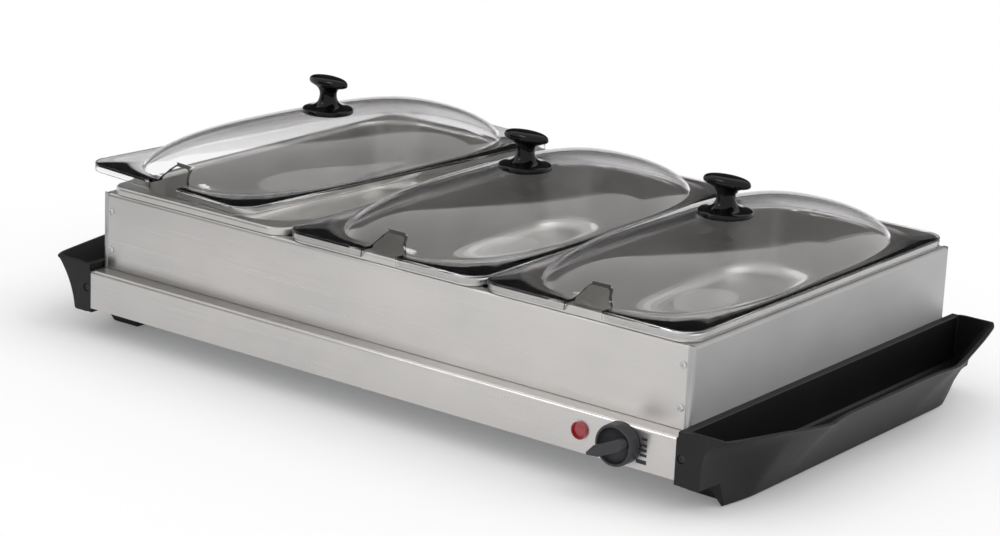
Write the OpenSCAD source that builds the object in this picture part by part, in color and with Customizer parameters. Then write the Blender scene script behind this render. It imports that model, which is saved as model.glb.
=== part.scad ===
// Electric bain-marie: a heated base tray, a lift-off pan frame, three pans and three clear lids.
// X runs from handle to handle, the control knob is on the front at -Y, and Z = 0 is the table.
// The left lid lies askew on its pan, as it does when the pan is being served from.

/* [Pans] */
// Width of one pan over its turned-down lip
pan_w = 178; // [165:1:195]
// Depth of one pan over its turned-down lip, front to back
pan_d = 346; // [320:1:380]
// Space between two neighbouring pans
pan_gap = 4; // [4:0.5:12]
// Height of the bowl from the flange to its floor
pan_depth = 56; // [40:1:60]
// Thickness of the pan sheet
pan_t = 0.7; // [0.5:0.1:1]
// Width of the flange at the pan's left and right
flange_x = 7; // [6:0.5:12]
// Width of the flange at the pan's front and back
flange_y = 11; // [9:0.5:16]
// Height of the turned-down lip
lip_h = 5.7; // [5.2:0.1:8]
// Corner radius of the lip
lip_r = 15; // [8:1:20]
// Corner radius of the bowl at its mouth
bowl_r = 45; // [30:1:50]
// Lean of the bowl's walls, in degrees
bowl_draft = 7; // [2:1:9]

/* [Frame] */
// Height of the frame's panels
frame_h = 60.1; // [58:0.1:80]
// Thickness of the frame sheet
frame_t = 1; // [0.8:0.1:1.3]
// Rim of the frame left and right of the outer pans
frame_edge = 4; // [3:0.5:8]
// Play between a pan's lip and the outside of the frame, front and back
frame_play = 0.8; // [0:0.1:2]
// Width of the side panels' return round each corner
frame_wrap = 5; // [4:0.5:7]
// Inward flange along the top of each panel
frame_flange = 9; // [6:0.5:9]

/* [Base] */
// Ledge of the base in front of and behind the frame
ledge = 14.7; // [10:0.1:22]
// Height of the shell's lower edge above the table
base_lift = 21.6; // [20:0.1:26]
// Height of the shell
base_h = 30.5; // [30:0.1:36]
// Thickness of the shell's sheet
base_t = 0.8; // [0.6:0.1:1]
// Step in from the frame's sides to the shell's sides
shell_inset = 1; // [0:0.1:2]

/* [Handles] */
// Height of the handles' upper lip at their ends
lip_top = 58; // [57.5:0.5:62]
// Drop of the lip along the middle
lip_dip = 5; // [0:0.5:7]
// Reach of the lip beyond the shell along the middle of the handle
reach_mid = 61.5; // [56:0.5:72]
// Reach of the lip where the handle swells
reach_swell = 65.5; // [58:0.5:80]
// Reach of the lip at the end where it flares out late
reach_end = 40; // [34:0.5:44]
// Reach of the lip at the other end
reach_back = 36.5; // [30:0.5:42]
// Reach of the foot along the middle
foot_reach = 27; // [24:0.5:30]
// Thickness of the moulded walls
handle_t = 3; // [2.4:0.1:3.5]

/* [Controls] */
// Diameter of the control knob
knob_d = 30.6; // [26:0.2:34]
// Depth of the knob's disc
knob_deep = 10.5; // [8:0.5:14]
// Height of the grip bar on the knob
grip_h = 7.5; // [5:0.5:10]
// Distance of the knob's axis from the shell's right-hand end
knob_in = 44; // [36:1:80]
// Distance from the knob's axis to the lamp
lamp_step = 35; // [28:1:60]
// Diameter of the lamp's lens
lamp_d = 13; // [11:0.5:16]
// Direction of the pointer when the heat is off, in degrees from +X
off_angle = 205; // [180:1:240]

/* [Lids] */
// Thickness of the lid's rim plate
rim_t = 2.2; // [1.8:0.1:3]
// Height of the lid's skirt below the top of its rim
skirt_h = 6.5; // [5:0.1:7]
// Thickness of the skirt
skirt_t = 1.3; // [1:0.1:1.4]
// Rise of the dome above the rim
dome_h = 31; // [20:0.5:45]
// Thickness of the dome
dome_t = 2; // [1.5:0.1:2.5]
// Width of the rim plate at the lid's left and right
rim_x = 8.6; // [7:0.1:12]
// Width of the rim plate at the lid's front and back
rim_y = 11; // [9:0.1:16]
// Width of the spoon notch at the rim
notch_w = 32; // [24:1:44]
// Height of the spoon notch above the rim
notch_h = 10; // [8:0.5:14]
// Diameter of the lid knob's base disc
disc_d = 41.5; // [34:0.5:50]
// Length of the lid knob's oval cap
cap_l = 40; // [32:0.5:46]
// Width of the lid knob's oval cap
cap_w = 19; // [16:0.5:26]
// Height of the lid knob
cap_h = 30; // [26:0.5:36]
// Sideways shift of the askew lid
askew_x = -27.3; // [-40:0.1:-20]
// Backward shift of the askew lid
askew_y = 14.1; // [0:0.1:20]
// Turn of the askew lid, in degrees
askew_turn = -5.7; // [-7:0.1:0]

/* [Hidden] */
$fn = 64;

STEEL = "#b9b6b2";
DARK_STEEL = "#8f8d8b";
PLASTIC = "#26262a";
KNOB_GREY = "#3a3a42";
CLEAR = "#dfe6e8";
RED = "#b3202c";

// Clearances
seat_gap = 0.3;
slip = 0.1;
skirt_play = 0.3;
run_fit = 0.05;

// Pans and frame
pitch = pan_w + pan_gap;
frame_l = 2 * pitch + pan_w + 2 * frame_edge;
frame_d = pan_d + 2 * frame_play;
frame_x = frame_l / 2;
frame_y = frame_d / 2;
frame_bend = 2.4;
bracket_w = 14;
bracket_end = 5;
bar_w = 11;
bar_h = 9;
screw_in = 8.5;
screw_low = 15.3;
screw_high = 45.9;
pan_bend = 4;
floor_bend = 10;
lip_bend = 2;

// Base
base_x = frame_x - shell_inset;
base_y = frame_y + ledge;
deck_z = base_lift + base_h;
base_bend = 2.6;
return_w = 8;
plate_t = 1.2;
bottom_t = 1;
bottom_z = base_lift + base_t + slip;

// Heights of the stack
frame_z = deck_z + seat_gap;
frame_top = frame_z + frame_h;
flange_z = frame_top + seat_gap + lip_h;
rim_low = flange_z + seat_gap;
rim_z = rim_low + rim_t;
skirt_z = rim_z - skirt_h;
dome_z = rim_z + dome_h;

// Lids
lid_x = pan_w / 2 + skirt_play + skirt_t;
lid_y = pan_d / 2 + skirt_play + skirt_t;
lid_r = lip_r + skirt_play + skirt_t;
askew_lift = flange_z + seat_gap - skirt_z;
cap_z = dome_z + seat_gap;
disc_t = 4.6;
cap_neck = 13.5;
cap_t = 7.5;
screw_hole = 5;
screw_d = 3.4;
dome_power = 3.18;
dome_fall = 4.51;
dome_round = 1.48;
dome_sag_x = 0.48;
dome_sag_y = 0.11;
dome_steps = [0.12, 0.26, 0.4, 0.54, 0.67, 0.78, 0.86, 0.92, 0.96, 0.985];

// Controls
knob_x = base_x - knob_in;
knob_z = base_lift + 16.2;
knob_gap = 0.6;
grip_w = 8.4;
grip_tip = 3.4;
grip_root = 4;
knob_front = base_y + knob_gap + knob_deep + grip_h;
shaft_d = 6;
collar_d = 8;
collar_h = 2.4;
lamp_x = knob_x - lamp_step;
lamp_neck = lamp_d - 3;
body_deep = 18;
body_h = 22;
body_w = 30;

// Inside the base
deck_low = deck_z - base_t;
heater_w = 150;
heater_margin = 22;
heater_t = 2.2;
mat_t = 5;
mat_z = deck_low - heater_t - seat_gap - mat_t;
mat_x = base_x - 14;
mat_y = base_y - 28;
tray_z = mat_z - seat_gap - base_t;
tray_rise = 3;
stud_d = 4;
stud_hole = 4.8;
stud_low = tray_z - 4.5;
nut_w = 8;
nut_h = 3.2;
stud_rows = [-120, 0, 120];
block_x = base_x - 74;
block_y = base_y - 40;
block_size = [36, 14, 12];
pole_pitch = 11;
pole_d = 5;
pole_deep = 4;
cord_x = block_x;
cord_z = base_lift + 15;
cord_hole = 10;
cord_bore = 6.6;
wire_d = 2.4;
wire_bulge = 0.3;
wire_lift = 6;
live_straight = 20;
live_slant = 40;
neutral_straight = 30;
earth_straight = 16;
earth_slant = 14;
earth_end = 20;
vent_l = 20;
vent_w = 4;
vent_pitch = 36;
cutout_d = 16;
cutout_h = 6;
cutout_x = 40;
cutout_y = -60;

// Handles
handle_y = base_y;
wall_z = 18;
wall_in = 7;
foot_in = 5;
foot_front = handle_y - 28.5;
foot_back = handle_y - 52.5;
front_slope = 5;
back_slope = 18;
foot_low = 0.8;
bend_half = handle_y - 62.5;
tongue_half = handle_y - 38.5;
foot_toe = 16;
tongue_slope = 1.2;
tongue_in = 14;
tongue_top = base_lift - 0.4;
hollow_x0 = base_x - tongue_in + 0.8 + handle_t;
hollow_x1 = base_x + foot_reach - 2 * handle_t;
frame_step = frame_x - base_x + 0.4;
ledge_top = deck_z + 4.6;
trough_z = wall_z + handle_t;
end_screw_x = base_x + 4.6;
end_screw_z = base_lift + 16;
mount_ys = [-120, 0, 120];
mount_z = base_lift + 16;
pad_w = 11;
pad_l = 32;
pad_x = hollow_x1 - pad_w / 2 - 1.5;
pad_y = foot_back - 24;

// Middle of the whole object, front to back, where the origin stands
function turned_reach(a, b, r, t) = (a - r) * abs(sin(t)) + (b - r) * cos(t) + r;
askew_reach = askew_y + turned_reach(lid_x, lid_y, lid_r, askew_turn);
origin_y = (knob_front - max(askew_reach, base_y + 3)) / 2;

// Curves

function arc(cx, cz, r, a0, a1, n) =
    [for (i = [0 : n]) let (a = a0 + (a1 - a0) * i / n) [cx + r * cos(a), cz + r * sin(a)]];

function flip(list) = [for (i = [len(list) - 1 : -1 : 0]) list[i]];

function mix(a, b, t) = a + (b - a) * t;

function ease(t) = let (u = min(1, max(0, t))) u * u * (3 - 2 * u);

// Smooth curve through points [u, value]
function slope_at(p, i) =
    i == 0 ? (p[1][1] - p[0][1]) / (p[1][0] - p[0][0])
    : i == len(p) - 1 ? (p[i][1] - p[i - 1][1]) / (p[i][0] - p[i - 1][0])
    : (p[i + 1][1] - p[i - 1][1]) / (p[i + 1][0] - p[i - 1][0]);

function span_at(p, u, i = 0) = i >= len(p) - 2 || u < p[i + 1][0] ? i : span_at(p, u, i + 1);

function smooth(p, u) =
    let (i = span_at(p, u), h = p[i + 1][0] - p[i][0], t = (u - p[i][0]) / h,
        m0 = slope_at(p, i) * h, m1 = slope_at(p, i + 1) * h)
    (2 * t ^ 3 - 3 * t ^ 2 + 1) * p[i][1] + (t ^ 3 - 2 * t ^ 2 + t) * m0
    + (3 * t ^ 2 - 2 * t ^ 3) * p[i + 1][1] + (t ^ 3 - t ^ 2) * m1;

// Skin between rings of m points: rows of quads, each split in two triangles
function skin(rows, m, closed) = [
    for (i = [0 : rows - (closed ? 1 : 2)], j = [0 : m - 1])
        let (a = i * m + j, b = i * m + (j + 1) % m,
            c = ((i + 1) % rows) * m + (j + 1) % m, d = ((i + 1) % rows) * m + j)
        for (f = [[a, b, c], [a, c, d]]) f
];

// Placing

module placed() {
    translate([0, origin_y, 0]) children();
}

module both_sides() {
    children();
    mirror([0, 1, 0]) children();
}

module at_lid(i) {
    x = (i - 1) * pitch;
    if (i == 0)
        translate([x + askew_x, askew_y, askew_lift]) rotate([0, 0, askew_turn]) children();
    else
        translate([x, 0, 0]) children();
}

// Runs a profile (radius, height) along a rounded rectangle whose corner centres are at cx, cy
module sweep_round(cx, cy) {
    for (k = [0 : 3])
        translate([(k == 0 || k == 3 ? 1 : -1) * cx, (k < 2 ? 1 : -1) * cy, 0])
            rotate([0, 0, 90 * k]) rotate_extrude(angle = 90) children();
    for (s = [0, 1]) {
        rotate([0, 0, 180 * s]) translate([cx, cy, 0])
            rotate([90, 0, 0]) linear_extrude(2 * cy) children();
        rotate([0, 0, 180 * s]) translate([-cx, cy, 0])
            rotate([90, 0, 90]) linear_extrude(2 * cx) children();
    }
}

module rounded(a, b, r) {
    square([2 * a, 2 * (b - r)], center = true);
    square([2 * (a - r), 2 * b], center = true);
    for (x = [-1, 1], y = [-1, 1]) translate([x * (a - r), y * (b - r)]) circle(r);
}

module pan_head(d, h, shank_d, shank_l) {
    difference() {
        union() {
            cylinder(h = h * 0.6, d = d);
            translate([0, 0, h * 0.6]) cylinder(h = h * 0.4, d1 = d, d2 = d * 0.7);
        }
        for (a = [0, 90]) rotate([0, 0, a + 20])
            translate([0, 0, h * 0.5 + 1]) cube([d * 0.55, d * 0.14, 2], center = true);
    }
    translate([0, 0, -shank_l]) cylinder(h = shank_l, d = shank_d, $fn = 32);
}

// A wire along straight runs, with a ball at each bend whose poles lie along the next run
module wire_run(points, d) {
    for (i = [0 : len(points) - 2]) {
        v = points[i + 1] - points[i];
        translate(points[i]) rotate([0, acos(v.z / norm(v)), atan2(v.y, v.x)]) {
            cylinder(h = norm(v), d = d, $fn = 24);
            if (i > 0) sphere(d = d + wire_bulge, $fn = 24);
        }
    }
}

// Base shell

module shell_profile(grow) {
    w = base_y - grow;
    top = deck_z - grow;
    r = base_bend - grow;
    polygon(concat(
        [[-w, base_lift - 1]],
        arc(-w + r, top - r, r, 180, 90, 6),
        arc(w - r, top - r, r, 90, 0, 6),
        [[w, base_lift - 1]]
    ));
}

module base_cover() {
    color(STEEL) placed() difference() {
        union() {
            rotate([90, 0, 90]) linear_extrude(2 * base_x, center = true) difference() {
                intersection() {
                    shell_profile(0);
                    translate([-base_y, base_lift]) square([2 * base_y, base_h]);
                }
                shell_profile(base_t);
            }
            for (s = [-1, 1])
                translate([0, s * (base_y - return_w / 2), base_lift + base_t / 2])
                    cube([2 * base_x, return_w, base_t], center = true);
        }
        translate([knob_x, -base_y + 3, knob_z]) rotate([90, 0, 0]) cylinder(h = 6, d = collar_d + 0.4);
        translate([lamp_x, -base_y + 3, knob_z]) rotate([90, 0, 0]) cylinder(h = 6, d = lamp_neck + 0.4);
        translate([cord_x, base_y + 3, cord_z]) rotate([90, 0, 0]) cylinder(h = 6, d = cord_hole + 0.2);
        bottom_holes(3.4);
    }
}

module bottom_holes(d) {
    for (x = [-1, 0, 1], s = [-1, 1])
        translate([x * base_x * 0.75, s * (base_y - return_w * 0.6), base_lift - 1])
            cylinder(h = 4, d = d, $fn = 32);
}

module bottom_plate() {
    x = base_x - plate_t - slip;
    y = base_y - base_t - slip;
    color(DARK_STEEL) placed() difference() {
        translate([-x, -y, bottom_z]) cube([2 * x, 2 * y, bottom_t]);
        bottom_holes(2.7);
        for (i = [-5 : 5], s = [-1, 1])
            translate([i * vent_pitch - vent_l / 2, (s * base_y - vent_w) / 2, bottom_z - 1])
                cube([vent_l, vent_w, bottom_t + 2]);
    }
}

module bottom_screws() {
    color(DARK_STEEL) placed() for (x = [-1, 0, 1], s = [-1, 1])
        translate([x * base_x * 0.75, s * (base_y - return_w * 0.6), base_lift])
            rotate([180, 0, 0]) pan_head(6, 1.6, 2.6, 3.2);
}

module end_plate() {
    z0 = base_lift;
    z1 = deck_low - slip;
    y = base_y - base_t - slip;
    difference() {
        union() {
            translate([base_x - plate_t, 0, (z0 + base_t + slip + z1) / 2]) rotate([90, 0, 90])
                linear_extrude(plate_t) rounded(y, (z1 - z0 - base_t - slip) / 2, base_bend);
            translate([base_x - return_w, -(base_y - return_w - base_t), z0])
                cube([return_w, 2 * (base_y - return_w - base_t), base_t]);
            translate([base_x - plate_t, -(base_y - return_w - base_t), z0])
                cube([plate_t, 2 * (base_y - return_w - base_t), 5]);
        }
        for (y = mount_ys) translate([base_x - 5, y, mount_z]) rotate([0, 90, 0])
            cylinder(h = 8, d = 3.6, $fn = 32);
    }
}

module end_plate_left() {
    color(DARK_STEEL) placed() mirror([1, 0, 0]) end_plate();
}

module end_plate_right() {
    color(DARK_STEEL) placed() end_plate();
}

// Handles: sections across X and Z, skinned along Y. Both are one moulding: the left one is turned
// half round, so its late flare is at the back.

lip_curve = [[0, reach_end], [0.12, mix(reach_end, reach_swell, 0.52)], [0.25, reach_swell],
    [0.3, mix(reach_mid, reach_swell, 0.4)], [0.36, reach_mid], [0.6, reach_mid],
    [0.67, mix(reach_mid, reach_swell, 0.4)], [0.72, reach_swell], [0.78, mix(reach_swell, reach_back, 0.14)],
    [0.97, mix(reach_swell, reach_back, 0.78)], [1, reach_back]];
dip_curve = [[0, 0], [0.12, 0.3], [0.25, 0.75], [0.5, 1], [0.75, 0.8], [0.88, 0.5], [1, 0.1]];

function along(y) = (y + handle_y) / (2 * handle_y);

function lip_x(y) = base_x + smooth(lip_curve, along(y));

function lip_z(y) = lip_top - lip_dip * smooth(dip_curve, along(y));

function wall_bend(y) = ease((abs(y) - bend_half) / (handle_y - bend_half));

function wall_x(y, z) =
    let (bend = wall_bend(y), low = base_x + foot_reach - (y < 0 ? 7 : 10) * bend)
    low + (lip_x(y) - low) * (z / lip_z(y)) ^ mix(1.25, y < 0 ? 8 : 2.7, bend);

function within(t) = min(1, max(0, t));

// Underside of the foot along its outer wall
function foot_z(y) =
    let (rise = y < 0 ? (-y - foot_front) / front_slope : (y - foot_back) / back_slope)
    mix(foot_low, wall_z - 0.3, within(rise));

// The foot's tongue reaches in under the base
function outside(y, cut) =
    let (z0 = foot_z(y), top = lip_z(y) - cut, x1 = lip_x(y) - cut,
        end = within((abs(y) - tongue_half) / tongue_slope),
        toe = foot_toe * within((y - foot_back) / back_slope) * (1 - end),
        x2 = mix(base_x - tongue_in, base_x + foot_in, end), z2 = mix(tongue_top, wall_z, end) + cut)
    concat(
        [[base_x, z2], [x2, z2], [x2 + 0.8, mix(foot_low, wall_z - 0.3, end) + cut]],
        [[wall_x(y, z0) - 2 - cut - toe, mix(foot_low, z0, end) + cut], [wall_x(y, z0) - 1 - cut, z0 + cut]],
        [for (t = [0.03, 0.2, 0.38, 0.55, 0.7, 0.84, 0.94])
            let (z = mix(z0 + cut, top, t)) [wall_x(y, z) - cut, z]],
        [[x1, top - 0.9], [x1 - 0.9, top], [x1 - handle_t, top]]
    );

function trough(y) =
    let (x = base_x + wall_in + 0.3, top = lip_z(y))
    concat(
        [[lip_x(y) - handle_t - 0.9, top - 0.9]],
        [for (z = [0.86, 0.64, 0.48]) [wall_x(y, z * top) - handle_t - 0.6, z * top]],
        [[wall_x(y, trough_z + 3) - handle_t - 3, trough_z]],
        [[x + 1.7, trough_z], [x, trough_z + 1.7], [x, ledge_top - 0.7]]
    );

function end_top(y, cut) =
    let (x0 = lip_x(y) - handle_t - 1.2, x1 = base_x + wall_in + 3, top = lip_z(y) - cut)
    concat(
        [for (i = [0 : 4]) [mix(x0, x1, i / 5), top]],
        [[x1, top - 0.2], [x1 - 1.4, (top + ledge_top) / 2], [x1 - 2.6, ledge_top + 0.2]]
    );

function inside_edge(cut) = [
    [base_x + wall_in - 0.4, ledge_top - cut], [base_x + frame_step, ledge_top - cut],
    [base_x + frame_step, deck_z], [base_x, deck_z]
];

function handle_section(y, open, cut) =
    concat(outside(y, cut), open ? trough(y) : end_top(y, cut), inside_edge(cut));

// Stations along the handle: [y, trough open, edge rounding]
end_stations = [
    [handle_y - handle_t - 1, true, 0], [handle_y - handle_t, false, 0],
    [handle_y - 0.9, false, 0], [handle_y, false, 0.8]
];

foot_ys = [
    [-foot_front - 3 * front_slope, -foot_front - front_slope, -foot_front, -tongue_half - tongue_slope],
    [foot_back, tongue_half, tongue_half + tongue_slope, foot_back + back_slope, foot_back + 2 * back_slope]
];

handle_stations = concat(
    [for (s = flip(end_stations)) [-s[0], s[1], s[2]]],
    [for (y = foot_ys[0]) [y, true, 0]],
    [for (i = [0 : 23]) [mix(-tongue_half, foot_back, i / 24), true, 0]],
    [for (y = foot_ys[1]) [y, true, 0]],
    end_stations
);

module handle() {
    rings = [for (s = handle_stations) [for (p = handle_section(s[0], s[1], s[2])) [p[0], s[0], p[1]]]];
    m = len(rings[0]);
    points = [for (ring = rings) each ring];
    last = len(points) - m;
    difference() {
        polyhedron(points, concat(
            skin(len(rings), m, false),
            [[for (j = [m - 1 : -1 : 0]) j]],
            [[for (j = [0 : m - 1]) last + j]]
        ));
        // Hollow underside of the foot
        translate([0, foot_back - handle_t, 0]) rotate([90, 0, 0])
            linear_extrude(foot_back + tongue_half - 2 * handle_t) polygon([
                [hollow_x0, -1], [hollow_x1, -1], [hollow_x1 + 2, wall_z], [hollow_x0, wall_z]
            ]);
        both_sides() translate([end_screw_x, -handle_y - 1, end_screw_z]) rotate([-90, 0, 0]) {
            cylinder(h = 2.2, d = 6.4, $fn = 32);
            cylinder(h = 12, d = 2.7, $fn = 32);
        }
        for (y = mount_ys) translate([base_x - 1, y, mount_z]) rotate([0, 90, 0])
            cylinder(h = 6, d = 3.1, $fn = 32);
    }
}

module handle_left() {
    color(PLASTIC) placed() rotate([0, 0, 180]) handle();
}

module handle_right() {
    color(PLASTIC) placed() handle();
}

module handle_screws() {
    color(PLASTIC) placed() for (a = [0, 1], b = [0, 1]) mirror([a, 0, 0]) mirror([0, b, 0])
        translate([end_screw_x, -handle_y + 1.2, end_screw_z]) rotate([90, 0, 0]) pan_head(5.6, 1, 2.6, 8);
}

module mounting_screws() {
    color(DARK_STEEL) placed() for (a = [0, 1], y = mount_ys) mirror([a, 0, 0])
        translate([base_x - plate_t, y, mount_z]) rotate([0, -90, 0]) pan_head(6.4, 1.8, 3, 5.5);
}

module foot_pad(sx, sy) {
    color(PLASTIC) placed() translate([sx * pad_x, sy * pad_y, 0])
        linear_extrude(wall_z) rounded(pad_w / 2, pad_l / 2, 3);
}

module foot_pad_front_left() {
    foot_pad(-1, -1);
}

module foot_pad_front_right() {
    foot_pad(1, -1);
}

module foot_pad_back_left() {
    foot_pad(-1, 1);
}

module foot_pad_back_right() {
    foot_pad(1, 1);
}

// Heating parts under the deck

module heater(i) {
    color("#c8b27a") placed()
        translate([(i - 1) * pitch - heater_w / 2, -mat_y + heater_margin, deck_low - heater_t])
        cube([heater_w, 2 * (mat_y - heater_margin), heater_t]);
}

module heater_left() {
    heater(0);
}

module heater_middle() {
    heater(1);
}

module heater_right() {
    heater(2);
}

module stud_places() {
    for (x = [-0.5, 0.5], y = stud_rows) translate([x * pitch, y, 0]) children();
}

module insulation_mat() {
    color("#e6e0d0") placed() difference() {
        translate([-mat_x, -mat_y, mat_z]) cube([2 * mat_x, 2 * mat_y, mat_t]);
        stud_places() translate([0, 0, mat_z - 1]) cylinder(h = mat_t + 2, d = stud_hole, $fn = 32);
    }
}

module reflector_tray() {
    x = mat_x + seat_gap + base_t;
    y = mat_y + seat_gap + base_t;
    color(STEEL) placed() difference() {
        translate([-x, -y, tray_z]) cube([2 * x, 2 * y, base_t + tray_rise]);
        translate([-x + base_t, -y + base_t, tray_z + base_t])
            cube([2 * (x - base_t), 2 * (y - base_t), tray_rise + 1]);
        stud_places() translate([0, 0, tray_z - 1]) cylinder(h = 4, d = stud_hole, $fn = 32);
    }
}

module tray_studs() {
    color(DARK_STEEL) placed() stud_places()
        translate([0, 0, stud_low]) cylinder(h = deck_low - stud_low, d = stud_d, $fn = 32);
}

module tray_nuts() {
    color(DARK_STEEL) placed() stud_places() translate([0, 0, tray_z - nut_h]) difference() {
        cylinder(h = nut_h, d = nut_w, $fn = 6);
        translate([0, 0, -1]) cylinder(h = nut_h + 2, d = stud_d + run_fit * 2, $fn = 32);
    }
}

module thermostat_body() {
    back = -base_y + base_t;
    color("#c9c2ac") placed() difference() {
        union() {
            translate([knob_x - body_w / 2, back, knob_z - body_h / 2 + 2]) cube([body_w, body_deep, body_h - 2]);
            translate([knob_x, back, knob_z]) rotate([90, 0, 0]) cylinder(h = base_t + collar_h, d = collar_d);
        }
        translate([knob_x, back + body_deep / 2, knob_z]) rotate([90, 0, 0])
            cylinder(h = body_deep, d = shaft_d + 2 * run_fit);
    }
}

module thermal_cutout() {
    color("#d8d8d2") placed() translate([cutout_x, cutout_y, tray_z - cutout_h]) {
        cylinder(h = cutout_h, d = cutout_d);
        translate([-cutout_d, -3, cutout_h - 1]) cube([2 * cutout_d, 6, 1]);
    }
}

module lamp_body() {
    color("#e8e4da") placed() translate([lamp_x, -base_y + base_t, knob_z]) rotate([-90, 0, 0])
        cylinder(h = body_deep, d = lamp_d - 1);
}

module lamp_lens() {
    rim = 1;
    bulge = 2.2;
    r = lamp_d / 2;
    ball = ((r - 0.8) ^ 2 + bulge ^ 2) / (2 * bulge);
    color(RED) placed() translate([lamp_x, -base_y, knob_z]) rotate([90, 0, 0]) {
        cylinder(h = rim, d = lamp_d);
        intersection() {
            translate([0, 0, rim + bulge - ball]) sphere(ball);
            cylinder(h = rim + bulge + 1, d = lamp_d - 1.6);
        }
        translate([0, 0, -base_t]) cylinder(h = base_t, d = lamp_neck);
    }
}

module terminal_block() {
    z = bottom_z + bottom_t;
    color("#efe9dc") placed() difference() {
        translate([block_x - block_size.x / 2, block_y - block_size.y / 2, z]) cube(block_size);
        for (i = [-1 : 1]) translate([block_x + i * pole_pitch, block_y, z + block_size.z - pole_deep])
            cylinder(h = pole_deep + 1, d = pole_d, $fn = 32);
    }
}

// Wires run over the bottom plate from the block's front face
wire_z = bottom_z + bottom_t + wire_lift;
block_front = block_y - block_size.y / 2;

module live_wire() {
    x = block_x;
    y = block_front - live_straight;
    color("#7a4a2a") placed() wire_run([
        [x, block_front, wire_z], [x, y, wire_z], [knob_x, y - live_slant, wire_z],
        [knob_x, -base_y + base_t + body_deep, wire_z]
    ], wire_d);
}

module neutral_wire() {
    x = block_x - pole_pitch;
    color("#3a62a8") placed() wire_run([
        [x, block_front, wire_z], [x, block_front - neutral_straight, wire_z], [cutout_x, 0, wire_z],
        [cutout_x, cutout_y, wire_z], [cutout_x, cutout_y, tray_z - cutout_h]
    ], wire_d);
}

module earth_wire() {
    x = block_x + pole_pitch;
    y = block_front - earth_straight;
    color("#5f8a3a") placed() wire_run([
        [x, block_front, wire_z], [x, y, wire_z], [base_x - earth_end, y - earth_slant, wire_z],
        [base_x - plate_t, y - earth_slant, wire_z]
    ], wire_d);
}

module cord_bushing() {
    d = cord_hole + 4;
    color(PLASTIC) placed() translate([cord_x, base_y, cord_z]) rotate([90, 0, 0]) difference() {
        union() {
            translate([0, 0, -2.6]) cylinder(h = 2.6, d1 = d - 2, d2 = d);
            translate([0, 0, 0]) cylinder(h = base_t, d = cord_hole);
            translate([0, 0, base_t]) cylinder(h = 3, d = d);
        }
        translate([0, 0, -4]) cylinder(h = 10, d = cord_bore);
    }
}

// Control knob and its shaft

module on_knob_axis() {
    placed() translate([knob_x, -base_y - knob_gap, knob_z]) rotate([90, 0, 0]) children();
}

module control_knob() {
    r = knob_d / 2;
    color(KNOB_GREY) on_knob_axis() difference() {
        union() {
            rotate_extrude() polygon(concat(
                [[0, 0], [r, 0], [r - 0.2, knob_deep - 1.2]],
                arc(r - 1.4, knob_deep - 1.2, 1.2, 0, 90, 4),
                [[0, knob_deep]]
            ));
            rotate([0, 0, off_angle]) translate([0, 0, knob_deep - grip_root])
                linear_extrude(grip_h + grip_root) polygon(concat(
                    [[r + grip_tip, -0.8], [r + grip_tip, 0.8], [r - 5, grip_w / 2]],
                    arc(-r + 2 + grip_w / 2, 0, grip_w / 2, 90, 270, 8),
                    [[r - 5, -grip_w / 2]]
                ));
        }
        translate([0, 0, -1]) cylinder(h = 1 + collar_h, d = collar_d + 3);
        translate([0, 0, -1]) cylinder(h = knob_deep - 1, d = shaft_d + 2 * run_fit);
    }
}

module thermostat_shaft() {
    back = body_deep / 2 - 1 + base_t + knob_gap;
    color(DARK_STEEL) on_knob_axis() translate([0, 0, -back])
        cylinder(h = back + knob_deep - 2, d = shaft_d);
}

// Pan frame

module flanged_strip(length) {
    rotate([90, 0, 90]) linear_extrude(length, center = true) polygon(concat(
        [[0, frame_z]],
        arc(frame_bend, frame_top - frame_bend, frame_bend, 180, 90, 5),
        [[frame_flange, frame_top], [frame_flange, frame_top - frame_t]],
        arc(frame_bend, frame_top - frame_bend, frame_bend - frame_t, 90, 180, 5),
        [[frame_t, frame_z]]
    ));
}

module frame_wide(s) {
    notch = frame_flange - frame_bend + slip;
    color(STEEL) placed() difference() {
        rotate([0, 0, s < 0 ? 0 : 180]) translate([0, -frame_y, 0])
            flanged_strip(2 * (frame_x - frame_wrap - slip));
        // The flange stops short of the side panels' flanges
        for (e = [-1, 1])
            translate([
                e * (frame_x - frame_flange / 2), s * (frame_y - frame_bend - notch / 2), frame_top - frame_t / 2
            ])
                cube([frame_flange + 2 * slip, notch + 2 * slip, 2 * frame_t], center = true);
        frame_screw_places(s) rotate([90, 0, 0]) cylinder(h = 8, d = 3, center = true, $fn = 32);
    }
}

module frame_front() {
    frame_wide(-1);
}

module frame_back() {
    frame_wide(1);
}

module frame_side() {
    inner = frame_y - frame_bend;
    rotate([0, 0, 90]) translate([0, -frame_x, 0]) flanged_strip(2 * inner);
    both_sides() translate([frame_x - frame_bend, inner, frame_z]) {
        rotate_extrude(angle = 90) translate([frame_bend - frame_t, 0]) square([frame_t, frame_h]);
        translate([-(frame_wrap - frame_bend), frame_bend - frame_t, 0])
            cube([frame_wrap - frame_bend, frame_t, frame_h]);
    }
}

module frame_left() {
    color(STEEL) placed() mirror([1, 0, 0]) frame_side();
}

module frame_right() {
    color(STEEL) placed() frame_side();
}

module cross_bar(s) {
    top = frame_top - frame_t;
    y = frame_y - frame_t;
    color(DARK_STEEL) placed() translate([s * pitch / 2, 0, 0]) difference() {
        translate([-bar_w / 2, -y, top - bar_h]) cube([bar_w, 2 * y, bar_h]);
        translate([-bar_w / 2 + frame_t, -y - 1, top - bar_h - 1])
            cube([bar_w - 2 * frame_t, 2 * y + 2, bar_h + 1 - frame_t]);
        for (e = [-1, 1]) translate([0, e * y, top])
            cube([bar_w + 1, 2 * frame_bend, 2 * frame_bend], center = true);
    }
}

module cross_bar_left() {
    cross_bar(-1);
}

module cross_bar_right() {
    cross_bar(1);
}

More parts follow.
